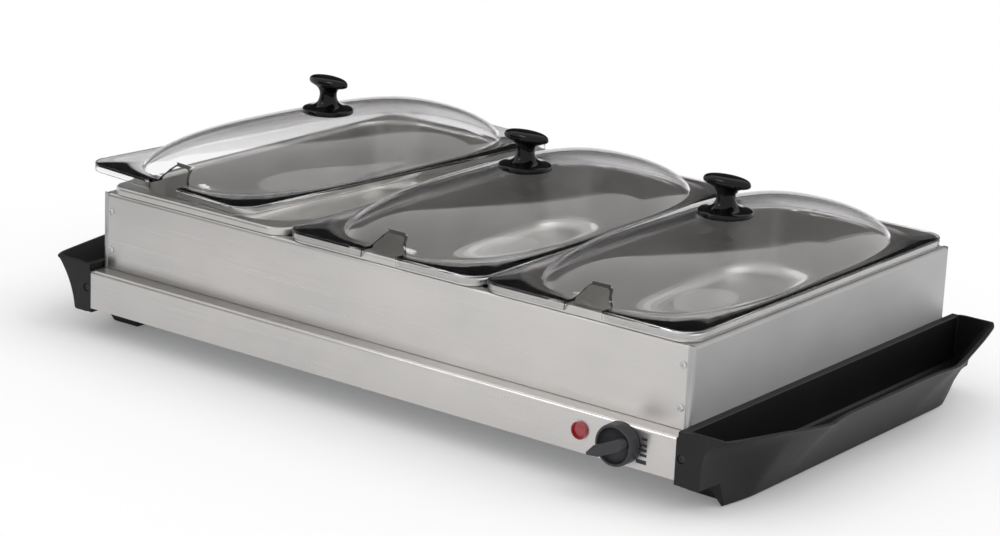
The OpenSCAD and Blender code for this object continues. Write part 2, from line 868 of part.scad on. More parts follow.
module bracket(sx, sy) {
    x = frame_x - frame_t;
    y = frame_y - frame_t;
    h = frame_h - 2 * bracket_end;
    color(DARK_STEEL) placed() difference() {
        union() {
            translate([sx > 0 ? x - bracket_w : -x + frame_bend, sy > 0 ? y - frame_t : -y, frame_z + bracket_end])
                cube([bracket_w - frame_bend, frame_t, h]);
            translate([sx > 0 ? x - frame_t : -x, sy > 0 ? y - bracket_w : -y + frame_bend, frame_z + bracket_end])
                cube([frame_t, bracket_w - frame_bend, h]);
            translate([sx * (x - frame_bend), sy * (y - frame_bend), frame_z + bracket_end])
                rotate([0, 0, sx > 0 ? (sy > 0 ? 0 : 270) : (sy > 0 ? 90 : 180)])
                    rotate_extrude(angle = 90) translate([frame_bend - frame_t, 0]) square([frame_t, h]);
        }
        frame_screw_places(sy) rotate([90, 0, 0]) cylinder(h = 8, d = 2.7, center = true, $fn = 32);
    }
}

module bracket_front_left() {
    bracket(-1, -1);
}

module bracket_front_right() {
    bracket(1, -1);
}

module bracket_back_left() {
    bracket(-1, 1);
}

module bracket_back_right() {
    bracket(1, 1);
}

module frame_screw_places(s) {
    for (x = [-1, 1], z = [screw_low, screw_high])
        translate([x * (frame_x - screw_in), s * frame_y, frame_z + z]) children();
}

module frame_screws(s) {
    color(DARK_STEEL) placed() frame_screw_places(s) rotate([s < 0 ? 90 : -90, 0, 0])
        pan_head(5, 1.3, 2.6, 4.5);
}

module frame_screws_front() {
    frame_screws(-1);
}

module frame_screws_back() {
    frame_screws(1);
}

// Pans

module pan_lip_profile() {
    r = lip_r - lip_bend;
    polygon(concat(
        [[lip_r - pan_t, flange_z - lip_h], [lip_r, flange_z - lip_h]],
        arc(r, flange_z - lip_bend, lip_bend, 0, 90, 5),
        arc(r, flange_z - lip_bend, lip_bend - pan_t, 90, 0, 5)
    ));
}

module bowl_profile() {
    floor_z = flange_z - pan_depth;
    r = bowl_r + pan_bend;
    top = flange_z - pan_bend;
    low = floor_z + floor_bend;
    x1 = r - pan_bend * cos(bowl_draft);
    lean = (top + pan_bend * sin(bowl_draft) - low + floor_bend * sin(bowl_draft)) * tan(bowl_draft);
    c = x1 - lean - floor_bend * cos(bowl_draft);
    polygon(concat(
        arc(r, top, pan_bend, 90, 180 - bowl_draft, 5),
        arc(c, low, floor_bend, -bowl_draft, -90, 6),
        [[0, floor_z], [0, floor_z - pan_t]],
        arc(c, low, floor_bend + pan_t, -90, -bowl_draft, 6),
        arc(r, top, pan_bend - pan_t, 180 - bowl_draft, 90, 5)
    ));
}

module pan(i) {
    open_x = pan_w / 2 - flange_x;
    open_y = pan_d / 2 - flange_y;
    cx = open_x - bowl_r;
    cy = open_y - bowl_r;
    flat_x = pan_w / 2 - lip_bend;
    flat_y = pan_d / 2 - lip_bend;
    color(STEEL) placed() translate([(i - 1) * pitch, 0, 0]) {
        sweep_round(pan_w / 2 - lip_r, pan_d / 2 - lip_r) pan_lip_profile();
        translate([0, 0, flange_z - pan_t]) linear_extrude(pan_t) difference() {
            rounded(flat_x, flat_y, lip_r - lip_bend);
            rounded(open_x + pan_bend, open_y + pan_bend, bowl_r + pan_bend);
        }
        sweep_round(cx, cy) bowl_profile();
        translate([-cx, -cy, flange_z - pan_depth - pan_t]) cube([2 * cx, 2 * cy, pan_t]);
    }
}

module pan_left() {
    pan(0);
}

module pan_middle() {
    pan(1);
}

module pan_right() {
    pan(2);
}

// Lids: rings at shared bearings round the centre, from the screw hole out to the skirt and back

lid_quarter = concat(
    [for (t = [0, 0.25, 0.5, 0.72, 0.88]) [lid_x, t * (lid_y - lid_r)]],
    arc(lid_x - lid_r, lid_y - lid_r, lid_r, 0, 90, 5),
    [for (t = [0.85, 0.62, 0.35]) [t * (lid_x - lid_r), lid_y]]
);
quarter_bearings = [for (p = lid_quarter) atan2(p[1], p[0])];
bearings = concat(
    quarter_bearings,
    [90],
    [for (a = flip(quarter_bearings)) 180 - a],
    [for (i = [1 : len(quarter_bearings) - 1]) 180 + quarter_bearings[i]],
    [270],
    [for (i = [len(quarter_bearings) - 1 : -1 : 1]) 360 - quarter_bearings[i]]
);

function box_reach(a, b, r, t) =
    let (c = abs(cos(t)), s = abs(sin(t)), cx = a - r, cy = b - r, k = c * cx + s * cy)
    s * a <= c * cy ? a / c : c * b <= s * cx ? b / s : k + sqrt(k * k - cx * cx - cy * cy + r * r);

function dome_reach(a, b, t) =
    1 / (abs(cos(t) / a) ^ dome_power + abs(sin(t) / b) ^ dome_power) ^ (1 / dome_power);

function dome_rise(s, u, v) =
    (1 - s ^ dome_fall) ^ (1 / dome_round) * (1 - dome_sag_x * u * u - dome_sag_y * v * v);

function flat_ring(inset, z) =
    [for (t = bearings) let (q = box_reach(lid_x - inset, lid_y - inset, lid_r - inset, t))
        [q * cos(t), q * sin(t), z]];

function hole_ring(z) = [for (t = bearings) [screw_hole / 2 * cos(t), screw_hole / 2 * sin(t), z]];

function dome_ring(a, b, s, low, rise) = [
    for (t = bearings)
        let (q = s * dome_reach(a, b, t), x = q * cos(t), y = q * sin(t))
        [x, y, low + rise * dome_rise(s, x / a, y / b)]
];

function lid_rings() =
    let (a = lid_x - rim_x, b = lid_y - rim_y, ai = a - dome_t, bi = b - dome_t, rise = dome_h + rim_t - dome_t)
    concat(
        [hole_ring(dome_z)],
        [for (s = dome_steps) dome_ring(a, b, s, rim_z, dome_h)],
        [dome_ring(a, b, 1, rim_z, 0), flat_ring(0.8, rim_z), flat_ring(0.25, rim_z - 0.25)],
        [flat_ring(0, rim_z - 0.8), flat_ring(0, skirt_z), flat_ring(skirt_t, skirt_z)],
        [flat_ring(skirt_t, rim_low), dome_ring(ai, bi, 1, rim_low, 0)],
        [for (s = flip(dome_steps)) dome_ring(ai, bi, s, rim_low, rise)],
        [hole_ring(dome_z - dome_t)]
    );

module notch_cut() {
    r = 6;
    top = rim_z + notch_h;
    half = notch_w / 2;
    slant = 4.5;
    translate([0, -lid_y + rim_y + 14, 0]) rotate([90, 0, 0]) linear_extrude(rim_y + 18) polygon(concat(
        [[-half, skirt_z - 1], [-half, rim_z]],
        arc(-half + slant + r, top - r, r, 165, 90, 5),
        arc(half - slant - r, top - r, r, 90, 15, 5),
        [[half, rim_z], [half, skirt_z - 1]]
    ));
}

module lid(i) {
    rings = lid_rings();
    m = len(bearings);
    color(CLEAR, 0.4) placed() at_lid(i) difference() {
        polyhedron([for (ring = rings) each ring], skin(len(rings), m, true));
        notch_cut();
    }
}

module lid_left() {
    lid(0);
}

module lid_middle() {
    lid(1);
}

module lid_right() {
    lid(2);
}

// Lid knobs: a round disc and neck, a flare and a domed oval cap

module oval(l, w, h) {
    linear_extrude(h) scale([l / w, 1]) circle(d = w, $fn = 40);
}

module knob_shape() {
    r = disc_d / 2;
    neck = cap_neck / 2;
    rise = disc_t + 4;
    low = cap_h - cap_t;
    rotate_extrude() polygon(concat(
        [[0, 0], [r - 0.8, 0], [r, 0.8], [r, disc_t - 1.4]],
        arc(r - 1.4, disc_t - 1.4, 1.4, 0, 80, 4),
        [[neck + 6, disc_t + 1]],
        [for (a = [75, 45, 15]) [neck + 6 - 6 * cos(a - 15), rise - 3 + 6 * (1 - sin(a))]],
        [[neck, low - 5], [0, low - 5]]
    ));
    hull() {
        translate([0, 0, low - 5.4]) cylinder(h = 0.4, d = cap_neck, $fn = 40);
        translate([0, 0, low - 0.4]) oval(cap_l * 0.66, cap_w * 0.8, 0.4);
    }
    hull() {
        translate([0, 0, low]) oval(cap_l - 3, cap_w - 3, 0.3);
        translate([0, 0, low + 1.5]) oval(cap_l, cap_w, 1.6);
        translate([0, 0, low + 4.6]) oval(cap_l - 2, cap_w - 2, 0.3);
        translate([0, 0, low + 6.3]) oval(cap_l - 7, cap_w - 6, 0.3);
        translate([0, 0, cap_h - 0.3]) oval(cap_l * 0.55, cap_w * 0.45, 0.3);
    }
}

module lid_knob(i) {
    color("#101014") placed() at_lid(i) translate([0, 0, cap_z]) difference() {
        knob_shape();
        translate([0, 0, -1]) cylinder(h = 15, d = screw_d + 0.1, $fn = 32);
    }
}

module lid_knob_left() {
    lid_knob(0);
}

module lid_knob_middle() {
    lid_knob(1);
}

module lid_knob_right() {
    lid_knob(2);
}

module lid_screw(i) {
    color(STEEL) placed() at_lid(i) translate([0, 0, dome_z - dome_t - seat_gap]) rotate([180, 0, 0])
        pan_head(9, 2.2, screw_d, dome_t + 2 * seat_gap + 12);
}

module lid_screw_left() {
    lid_screw(0);
}

module lid_screw_middle() {
    lid_screw(1);
}

module lid_screw_right() {
    lid_screw(2);
}

base_cover();
bottom_plate();
bottom_screws();
end_plate_left();
end_plate_right();
handle_left();
handle_right();
handle_screws();
mounting_screws();
foot_pad_front_left();
foot_pad_front_right();
foot_pad_back_left();
foot_pad_back_right();
heater_left();
heater_middle();
heater_right();
insulation_mat();
reflector_tray();
tray_studs();
tray_nuts();
thermostat_body();
thermal_cutout();
lamp_body();
lamp_lens();
terminal_block();
live_wire();
neutral_wire();
earth_wire();
cord_bushing();
control_knob();
thermostat_shaft();
frame_front();
frame_back();
frame_left();
frame_right();
cross_bar_left();
cross_bar_right();
bracket_front_left();
bracket_front_right();
bracket_back_left();
bracket_back_right();
frame_screws_front();
frame_screws_back();
pan_left();
pan_middle();
pan_right();
lid_left();
lid_middle();
lid_right();
lid_knob_left();
lid_knob_middle();
lid_knob_right();
lid_screw_left();
lid_screw_middle();
lid_screw_right();
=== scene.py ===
"""Dresses a three-pan electric bain-marie: materials, clear lids, knobs, dial marks, stage and camera."""

import math

import bmesh
import bpy
from mathutils import Matrix, Vector


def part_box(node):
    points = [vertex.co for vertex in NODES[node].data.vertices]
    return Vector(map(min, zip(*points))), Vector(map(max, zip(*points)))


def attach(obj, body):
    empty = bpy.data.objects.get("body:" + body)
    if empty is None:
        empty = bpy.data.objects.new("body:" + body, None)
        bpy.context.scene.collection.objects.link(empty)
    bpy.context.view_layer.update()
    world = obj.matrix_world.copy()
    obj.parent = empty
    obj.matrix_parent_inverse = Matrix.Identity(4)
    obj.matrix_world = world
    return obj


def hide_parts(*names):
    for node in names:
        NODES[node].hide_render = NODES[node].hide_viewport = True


bl_info = {
    "name": "Electric bain-marie",
    "version": (1, 0, 0),
    "blender": (4, 5, 0),
    "location": "View3D > Sidebar > Bain-marie",
    "description": "Builds the finish, the clear lids and the studio of a buffet food warmer",
    "category": "Object",
}

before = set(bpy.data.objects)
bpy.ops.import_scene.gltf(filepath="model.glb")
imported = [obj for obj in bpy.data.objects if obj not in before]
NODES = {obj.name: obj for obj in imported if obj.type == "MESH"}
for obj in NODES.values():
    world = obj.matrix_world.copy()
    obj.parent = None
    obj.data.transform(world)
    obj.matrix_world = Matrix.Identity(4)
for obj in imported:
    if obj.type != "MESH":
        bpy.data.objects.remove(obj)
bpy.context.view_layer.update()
MM = 0.001
SIDES = ("left", "middle", "right")

# Angles in degrees between faces above which an edge stays sharp
SHARP_SHEET = 35
SHARP_CLEAR = 40
SHARP_LID_KNOB = 60
SHARP_HANDLE = 28
SHARP_SMALL = 30

# The askew lid lies turned on its pan; the others sit square
LID_TURN = {"left": math.radians(-5.7), "middle": 0.0, "right": 0.0}


def centre_of(node):
    low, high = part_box(node)
    return (low + high) / 2


# Colours and nodes

# Sockets of a mix node that hold colours
COLOUR_A, COLOUR_B, COLOUR_RESULT = 6, 7, 2


def linear(hex_colour):
    """An sRGB hex colour as linear RGBA."""
    text = hex_colour.lstrip("#")
    parts = [int(text[i:i + 2], 16) / 255 for i in (0, 2, 4)]
    return tuple(c / 12.92 if c <= 0.04045 else ((c + 0.055) / 1.055) ** 2.4 for c in parts) + (1.0,)


def add_node(tree, kind, values=None, links=None, **settings):
    """Adds one node with its settings, socket values and incoming links."""
    made = tree.nodes.new(kind)
    for name, value in settings.items():
        setattr(made, name, value)
    for socket, value in (values or {}).items():
        made.inputs[socket].default_value = value
    for socket, source in (links or {}).items():
        tree.links.new(source, made.inputs[socket])
    return made


def start_material(name):
    material = bpy.data.materials.new(name)
    material.use_nodes = True
    material.node_tree.nodes.clear()
    return material, material.node_tree


def finish_material(tree, surface):
    add_node(tree, "ShaderNodeOutputMaterial", links={"Surface": surface.outputs[0]})


def surfaced(material, values=None, links=None):
    """Gives a material one principled surface."""
    tree = material.node_tree
    finish_material(tree, add_node(tree, "ShaderNodeBsdfPrincipled", values, links))
    return material


def stretched_noise(tree, size_mm, detail):
    """Noise whose features have the given sizes along X, Y and Z, in millimetres."""
    place = add_node(tree, "ShaderNodeTexCoord")
    scale = [1 / (s * MM) for s in size_mm]
    mapped = add_node(
        tree, "ShaderNodeMapping", values={"Scale": scale}, links={"Vector": place.outputs["Object"]})
    return add_node(
        tree, "ShaderNodeTexNoise",
        values={"Scale": 1.0, "Detail": detail, "Roughness": 0.6},
        links={"Vector": mapped.outputs[0]},
    ).outputs["Fac"]


def spread(tree, source, low, high):
    """Turns a factor round 0.5 into values from low to high."""
    return add_node(
        tree, "ShaderNodeMapRange",
        values={"From Min": 0.3, "From Max": 0.7, "To Min": low, "To Max": high},
        links={"Value": source},
    ).outputs[0]


def bump(tree, source, depth_mm, strength):
    return add_node(
        tree, "ShaderNodeBump",
        values={"Strength": strength, "Distance": depth_mm * MM},
        links={"Height": source},
    ).outputs[0]


def tinted(tree, source, dark, light):
    """A colour that wanders between two close tones."""
    return add_node(
        tree, "ShaderNodeMix", data_type="RGBA",
        values={COLOUR_A: linear(dark), COLOUR_B: linear(light)}, links={0: source},
    ).outputs[COLOUR_RESULT]


# Materials, each named for what the real one is


def brushed_stainless(name, grain, dark, light, rough, blur):
    # Stainless sheet brushed by belt: the eye sees soft streaks along the grain, and reflections that
    # smear across it. Real lines are about 0.1 mm wide, too fine to show, so they are drawn at 1 mm.
    material, tree = start_material(name)
    streak_length, streak_width = 160, 1.0
    size = [streak_length if axis == grain else streak_width for axis in "XYZ"]
    lines = stretched_noise(tree, size, 5.0)
    clouds = stretched_noise(tree, (90, 90, 60), 2.0)
    tangent = add_node(tree, "ShaderNodeTangent", direction_type="RADIAL", axis=grain)
    return surfaced(
        material,
        values={"Metallic": 1.0, "Anisotropic": blur},
        links={
            "Base Color": tinted(tree, spread(tree, clouds, 0.0, 1.0), dark, light),
            "Roughness": spread(tree, lines, rough - 0.04, rough + 0.05),
            "Normal": bump(tree, lines, 0.01, 0.4),
            "Tangent": tangent.outputs[0],
        },
    )


def deep_drawn_stainless():
    # Deep-drawn stainless pan, satin inside: brighter and smoother than the brushed shell.
    material, tree = start_material("deep_drawn_stainless_steel")
    wipe = stretched_noise(tree, (30, 60, 30), 2.0)
    return surfaced(
        material,
        values={"Metallic": 1.0},
        links={
            "Base Color": tinted(tree, spread(tree, wipe, 0.0, 1.0), "#bbbab7", "#c7c6c3"),
            "Roughness": spread(tree, wipe, 0.3, 0.36),
        },
    )


def galvanised_sheet():
    # Hot-dip galvanised sheet: dull grey with a faint spangle of crystals a few millimetres wide.
    material, tree = start_material("galvanised_steel_sheet")
    place = add_node(tree, "ShaderNodeTexCoord")
    cells = add_node(
        tree, "ShaderNodeTexVoronoi",
        values={"Scale": 1 / (7 * MM)},
        links={"Vector": place.outputs["Object"]},
    )
    spangle = cells.outputs["Color"]
    return surfaced(
        material,
        values={"Metallic": 1.0},
        links={
            "Base Color": tinted(tree, spangle, "#9a9c9d", "#aeb0b1"),
            "Roughness": spread(tree, spangle, 0.38, 0.52),
        },
    )


def moulded_plastic(name, dark, light, rough, grain_mm, grain_depth_mm, gloss=0.5):
    # Injection-moulded plastic: one colour through, with the fine spark-eroded grain of its mould.
    material, tree = start_material(name)
    grain = stretched_noise(tree, (grain_mm,) * 3, 3.0)
    tone = stretched_noise(tree, (35, 35, 35), 2.0)
    return surfaced(
        material,
        values={"IOR": 1.53, "Specular IOR Level": gloss},
        links={
            "Base Color": tinted(tree, spread(tree, tone, 0.0, 1.0), dark, light),
            "Roughness": spread(tree, grain, rough - 0.05, rough + 0.07),
            "Normal": bump(tree, grain, grain_depth_mm, 0.6),
        },
    )


def polished_phenolic():
    # Compression-moulded phenolic knob, buffed: deep black with sharp highlights and faint rub marks.
    material, tree = start_material("polished_black_phenolic")
    rub = stretched_noise(tree, (3, 3, 3), 4.0)
    return surfaced(
        material,
        values={"IOR": 1.6, "Specular IOR Level": 0.16},
        links={
            "Base Color": tinted(tree, spread(tree, rub, 0.0, 1.0), "#050506", "#0a0a0c"),
            "Roughness": spread(tree, rub, 0.08, 0.15),
        },
    )


def clear_polycarbonate():
    # Clear moulded polycarbonate: bright edges, hardly any tint and faint cloudy wipe marks.
    material, tree = start_material("clear_polycarbonate")
    wipe = stretched_noise(tree, (40, 60, 40), 3.0)
    return surfaced(
        material,
        values={"Base Color": linear("#f6f5f6"), "IOR": 1.5, "Transmission Weight": 1.0},
        links={"Roughness": spread(tree, wipe, 0.01, 0.05)},
    )


def red_lamp_lens():
    # Tinted acrylic lamp lens, unlit: dull deep red with a wet-looking surface.
    material, tree = start_material("red_acrylic_lens")
    tone = stretched_noise(tree, (4, 4, 4), 2.0)
    return surfaced(
        material,
        values={"Roughness": 0.16, "IOR": 1.49, "Coat Weight": 0.6, "Subsurface Weight": 0.15},
        links={"Base Color": tinted(tree, spread(tree, tone, 0.0, 1.0), "#8e1420", "#b02634")},
    )


def zinc_plated_steel():
    # Bright zinc-plated screws and studs: grey, half polished, dulled in patches.
    material, tree = start_material("zinc_plated_steel")
    patch = stretched_noise(tree, (1.2, 1.2, 1.2), 3.0)
    return surfaced(
        material,
        values={"Metallic": 1.0},
        links={
            "Base Color": tinted(tree, spread(tree, patch, 0.0, 1.0), "#b9babb", "#d4d4d4"),
            "Roughness": spread(tree, patch, 0.25, 0.45),
        },
    )


def glass_fibre_mat():
    # Needled glass-fibre mat: off-white felt with a loose, fluffy surface.
    material, tree = start_material("glass_fibre_mat")
    fluff = stretched_noise(tree, (2.5, 2.5, 2.5), 6.0)
    return surfaced(
        material,
        values={"Roughness": 0.95, "Sheen Weight": 0.2},
        links={
            "Base Color": tinted(tree, spread(tree, fluff, 0.0, 1.0), "#d3cdb9", "#ebe6d8"),
            "Normal": bump(tree, fluff, 0.6, 0.8),
        },
    )


def heater_foil():
    # Aluminium foil over a heating film: crinkled and soft silver.
    material, tree = start_material("aluminium_foil")
    crinkle = stretched_noise(tree, (9, 9, 9), 5.0)
    return surfaced(
        material,
        values={"Metallic": 1.0, "Base Color": linear("#cfcdc6")},
        links={
            "Roughness": spread(tree, crinkle, 0.22, 0.4),
            "Normal": bump(tree, crinkle, 0.3, 0.7),
        },
    )


def black_rubber():
    # Moulded rubber foot: matt black with a dusty bloom.
    material, tree = start_material("moulded_black_rubber")
    bloom = stretched_noise(tree, (2, 2, 2), 4.0)
    return surfaced(
        material,
        values={"IOR": 1.52},
        links={
            "Base Color": tinted(tree, spread(tree, bloom, 0.0, 1.0), "#101012", "#1c1c1f"),
            "Roughness": spread(tree, bloom, 0.7, 0.9),
        },
    )


def printed_ink():
    # Screen-printed black ink: flat, slightly satin, with thin spots where the screen printed light.
    material, tree = start_material("screen_printed_ink")
    thin = stretched_noise(tree, (0.6, 0.6, 0.6), 3.0)
    return surfaced(
        material,
        links={
            "Base Color": tinted(tree, spread(tree, thin, 0.0, 1.0), "#17171a", "#2c2c30"),
            "Roughness": spread(tree, thin, 0.4, 0.6),
        },
    )


def rays_that_show(tree):
    """1 for rays of the camera, of mirrors and of clear parts, 0 for those that carry light."""
    path = add_node(tree, "ShaderNodeLightPath").outputs
    seen = add_node(
        tree, "ShaderNodeMath", operation="MAXIMUM",
        links={0: path["Is Camera Ray"], 1: path["Is Glossy Ray"]})
    return add_node(
        tree, "ShaderNodeMath", operation="MAXIMUM",
        links={0: seen.outputs[0], 1: path["Is Transmission Ray"]}).outputs[0]


def painted_floor(colour, lift):
    # Matt white studio floor, lit from within a little, so that the server's shadow stays soft.
    material, tree = start_material("matt_white_studio_floor")
    paint = add_node(tree, "ShaderNodeBsdfPrincipled", values={"Roughness": 0.9, "Specular IOR Level": 0.1})
    paint.inputs["Base Color"].default_value = (*colour, 1.0)
    glow = add_node(tree, "ShaderNodeEmission", values={"Strength": 1.0})
    share = add_node(
        tree, "ShaderNodeMath", operation="MULTIPLY", values={1: lift}, links={0: rays_that_show(tree)})
    both = add_node(
        tree, "ShaderNodeMixShader",
        links={0: share.outputs[0], 1: paint.outputs[0], 2: glow.outputs[0]})
    finish_material(tree, both)
    return material


def painted_card(name, tone):
    # Matt card: it has no look of its own and only shows where metal or clear parts mirror it.
    material, tree = start_material(name)
    paint = add_node(tree, "ShaderNodeBsdfPrincipled", values={"Roughness": 1.0, "Specular IOR Level": 0.0})
    paint.inputs["Base Color"].default_value = (tone, tone, tone, 1.0)
    show_where_mirrored(tree, paint)
    return material


def lit_card(name, strength):
    # Soft box: seen in glossy parts as a crisp pale patch.
    material, tree = start_material(name)
    light = add_node(tree, "ShaderNodeEmission", values={"Strength": strength})
    show_where_mirrored(tree, light)
    return material


def show_where_mirrored(tree, shader):
    depth = add_node(tree, "ShaderNodeLightPath").outputs["Glossy Depth"]
    mirrored = add_node(tree, "ShaderNodeMath", operation="GREATER_THAN", values={1: 0.5}, links={0: depth})
    nothing = add_node(tree, "ShaderNodeBsdfTransparent")
    finish_material(tree, add_node(
        tree, "ShaderNodeMixShader",
        links={0: mirrored.outputs[0], 1: nothing.outputs[0], 2: shader.outputs[0]}))


MATERIALS = {}


def material_of(name, make, *args):
    if name not in MATERIALS:
        MATERIALS[name] = make(*args)
    return MATERIALS[name]


def dress(nodes, material, smooth_deg=SHARP_SHEET):
    """Gives CAD nodes a material and smooth shading that breaks at sharp edges."""
    for name in nodes:
        node = NODES[name]
        node.data.materials.clear()
        node.data.materials.append(material)
        shade(node, smooth_deg)


def shade(obj, smooth_deg):
    mesh = obj.data
    if "custom_normal" in mesh.attributes:
        mesh.attributes.remove(mesh.attributes["custom_normal"])
    mesh.shade_smooth()
    mesh.set_sharp_from_angle(angle=math.radians(smooth_deg))


# Meshes


def place_mesh(name, mesh):
    """Puts a mesh into the scene as an object."""
    placed = bpy.data.objects.new(name, mesh)
    bpy.context.scene.collection.objects.link(placed)
    return placed


def shape_from(name, mesh_maker):
    """Makes a mesh object from a bmesh that mesh_maker fills."""
    mesh = bpy.data.meshes.new(name)
    made = bmesh.new()
    mesh_maker(made)
    bmesh.ops.recalc_face_normals(made, faces=made.faces)
    made.to_mesh(mesh)
    made.free()
    return place_mesh(name, mesh)


def new_piece(name, mesh_maker, material, body, smooth_deg):
    """Makes a piece from a bmesh that mesh_maker fills, and lets it ride on a body."""
    piece = shape_from(name, mesh_maker)
    piece.data.materials.append(material)
    shade(piece, smooth_deg)
    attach(piece, body)
    return piece


def new_plane(name, half_x, half_y, material):
    """Makes a level rectangle round the origin."""
    mesh = bpy.data.meshes.new(name)
    corners = [(-half_x, -half_y, 0), (half_x, -half_y, 0), (half_x, half_y, 0), (-half_x, half_y, 0)]
    mesh.from_pydata(corners, [], [(0, 1, 2, 3)])
    mesh.materials.append(material)
    return place_mesh(name, mesh)


def skin_rings(made, rings):
    """Joins each ring of points to the next with quads."""
    rows = [[made.verts.new(p) for p in ring] for ring in rings]
    for low, high in zip(rows, rows[1:]):
        join_rows(made, low, high)
    return rows


def join_rows(made, low, high):
    for i in range(len(low)):
        k = (i + 1) % len(low)
        made.faces.new((low[i], low[k], high[k], high[i]))


def skin_body(made, rings):
    """Joins rings of points into a body that is closed by its first and last ring."""
    rows = skin_rings(made, rings)
    made.faces.new(rows[0])
    made.faces.new(list(reversed(rows[-1])))


def skin_loop(made, rings):
    """Joins rings of points into a body whose last ring meets its first."""
    rows = skin_rings(made, rings)
    join_rows(made, rows[-1], rows[0])


def apply_modifiers(piece):
    """Keeps the shape that the modifiers give and drops the modifiers."""
    bpy.context.view_layer.update()
    graph = bpy.context.evaluated_depsgraph_get()
    mesh = bpy.data.meshes.new_from_object(piece.evaluated_get(graph))
    piece.modifiers.clear()
    piece.data = mesh


def cut_away(piece, rings):
    """Cuts the closed body between rings of points out of the piece."""
    cutter = shape_from("cutter", lambda made: skin_body(made, rings))
    cutter.parent = piece
    boolean = piece.modifiers.new("cut", "BOOLEAN")
    boolean.operation = "DIFFERENCE"
    boolean.solver = "EXACT"
    boolean.object = cutter
    apply_modifiers(piece)
    bpy.data.objects.remove(cutter)


# Clear lids


class LidSettings(bpy.types.PropertyGroup):
    rim_side: bpy.props.FloatProperty(
        name="Rim at the sides", description="Width of the rim plate left and right",
        default=8.6 * MM, unit="LENGTH")
    rim_front: bpy.props.FloatProperty(
        name="Rim at the front", description="Width of the rim plate front and back",
        default=11 * MM, unit="LENGTH")
    rim_thick: bpy.props.FloatProperty(
        name="Rim thickness", description="Thickness of the rim plate", default=2.2 * MM, unit="LENGTH")
    skirt_thick: bpy.props.FloatProperty(
        name="Skirt thickness", description="Thickness of the skirt", default=1.3 * MM, unit="LENGTH")
    skirt_drop: bpy.props.FloatProperty(
        name="Skirt height", description="Height from the skirt's edge to the top of the rim",
        default=6.5 * MM, unit="LENGTH")
    corner: bpy.props.FloatProperty(
        name="Corner radius", description="Corner radius of the lid", default=16.6 * MM, unit="LENGTH")
    wall: bpy.props.FloatProperty(
        name="Dome thickness", description="Thickness of the dome", default=2 * MM, unit="LENGTH")
    notch_width: bpy.props.FloatProperty(
        name="Notch width", description="Width of the spoon notch", default=32 * MM, unit="LENGTH")
    notch_height: bpy.props.FloatProperty(
        name="Notch height", description="Height of the spoon notch above the rim",
        default=10 * MM, unit="LENGTH")


# The dome: power of its superelliptic outline, powers of its fall towards the edge, and its sag along X and Y
DOME_POWER = 3.18
DOME_FALL = 4.51
DOME_ROUND = 1.48
DOME_SAG = (0.48, 0.11)

# Rings of the dome, from the share of its reach at the screw's hole to that at its edge
DOME_FIRST, DOME_LAST, DOME_STEPS = 0.06, 0.995, 40
SIDE_STEPS, CORNER_STEPS, END_STEPS = 16, 12, 10
SCREW_HOLE = 2.5 * MM
RIM_ROUND = 0.8 * MM
RIM_ROUND_STEPS = 3
SKIRT_ROUND = 0.4 * MM

# The spoon notch: radius of its upper corners, lean of its sides, and how far its cut passes the lid's
# edge, the rim and the skirt's edge
NOTCH_CORNER, NOTCH_LEAN = 6 * MM, 4.5 * MM
NOTCH_ARC, NOTCH_ARC_STEPS = (165, 90), 8
NOTCH_BEFORE, NOTCH_BEHIND, NOTCH_BELOW = 5 * MM, 14 * MM, 1 * MM


def corner_bearings(half_x, half_y, corner):
    """Bearings of the outline's points, close together round the corners."""
    quarter = [math.atan2(half_y - corner, half_x) * i / SIDE_STEPS for i in range(SIDE_STEPS)]
    for i in range(CORNER_STEPS + 1):
        a = math.radians(90 * i / CORNER_STEPS)
        x, y = half_x - corner + corner * math.cos(a), half_y - corner + corner * math.sin(a)
        quarter.append(math.atan2(y, x))
    last = quarter[-1]
    quarter += [last + (math.pi / 2 - last) * i / END_STEPS for i in range(1, END_STEPS)]
    return [b + quadrant for quadrant in (0, math.pi) for b in
            quarter + [math.pi / 2] + [math.pi - q for q in reversed(quarter[1:])]]


def box_reach(half_x, half_y, corner, bearing):
    """Distance from the centre to a rounded rectangle at a bearing."""
    c, s = abs(math.cos(bearing)), abs(math.sin(bearing))
    if s * half_x <= c * (half_y - corner):
        return half_x / c
    if c * half_y <= s * (half_x - corner):
        return half_y / s
    k = c * (half_x - corner) + s * (half_y - corner)
    return k + math.sqrt(max(0.0, k * k - (half_x - corner) ** 2 - (half_y - corner) ** 2 + corner ** 2))


def dome_point(half_x, half_y, share, bearing, low, rise):
    reach = (abs(math.cos(bearing) / half_x) ** DOME_POWER
             + abs(math.sin(bearing) / half_y) ** DOME_POWER) ** (-1 / DOME_POWER) * share
    x, y = reach * math.cos(bearing), reach * math.sin(bearing)
    sag = 1 - DOME_SAG[0] * (x / half_x) ** 2 - DOME_SAG[1] * (y / half_y) ** 2
    return Vector((x, y, low + rise * max(0.0, 1 - share ** DOME_FALL) ** (1 / DOME_ROUND) * sag))


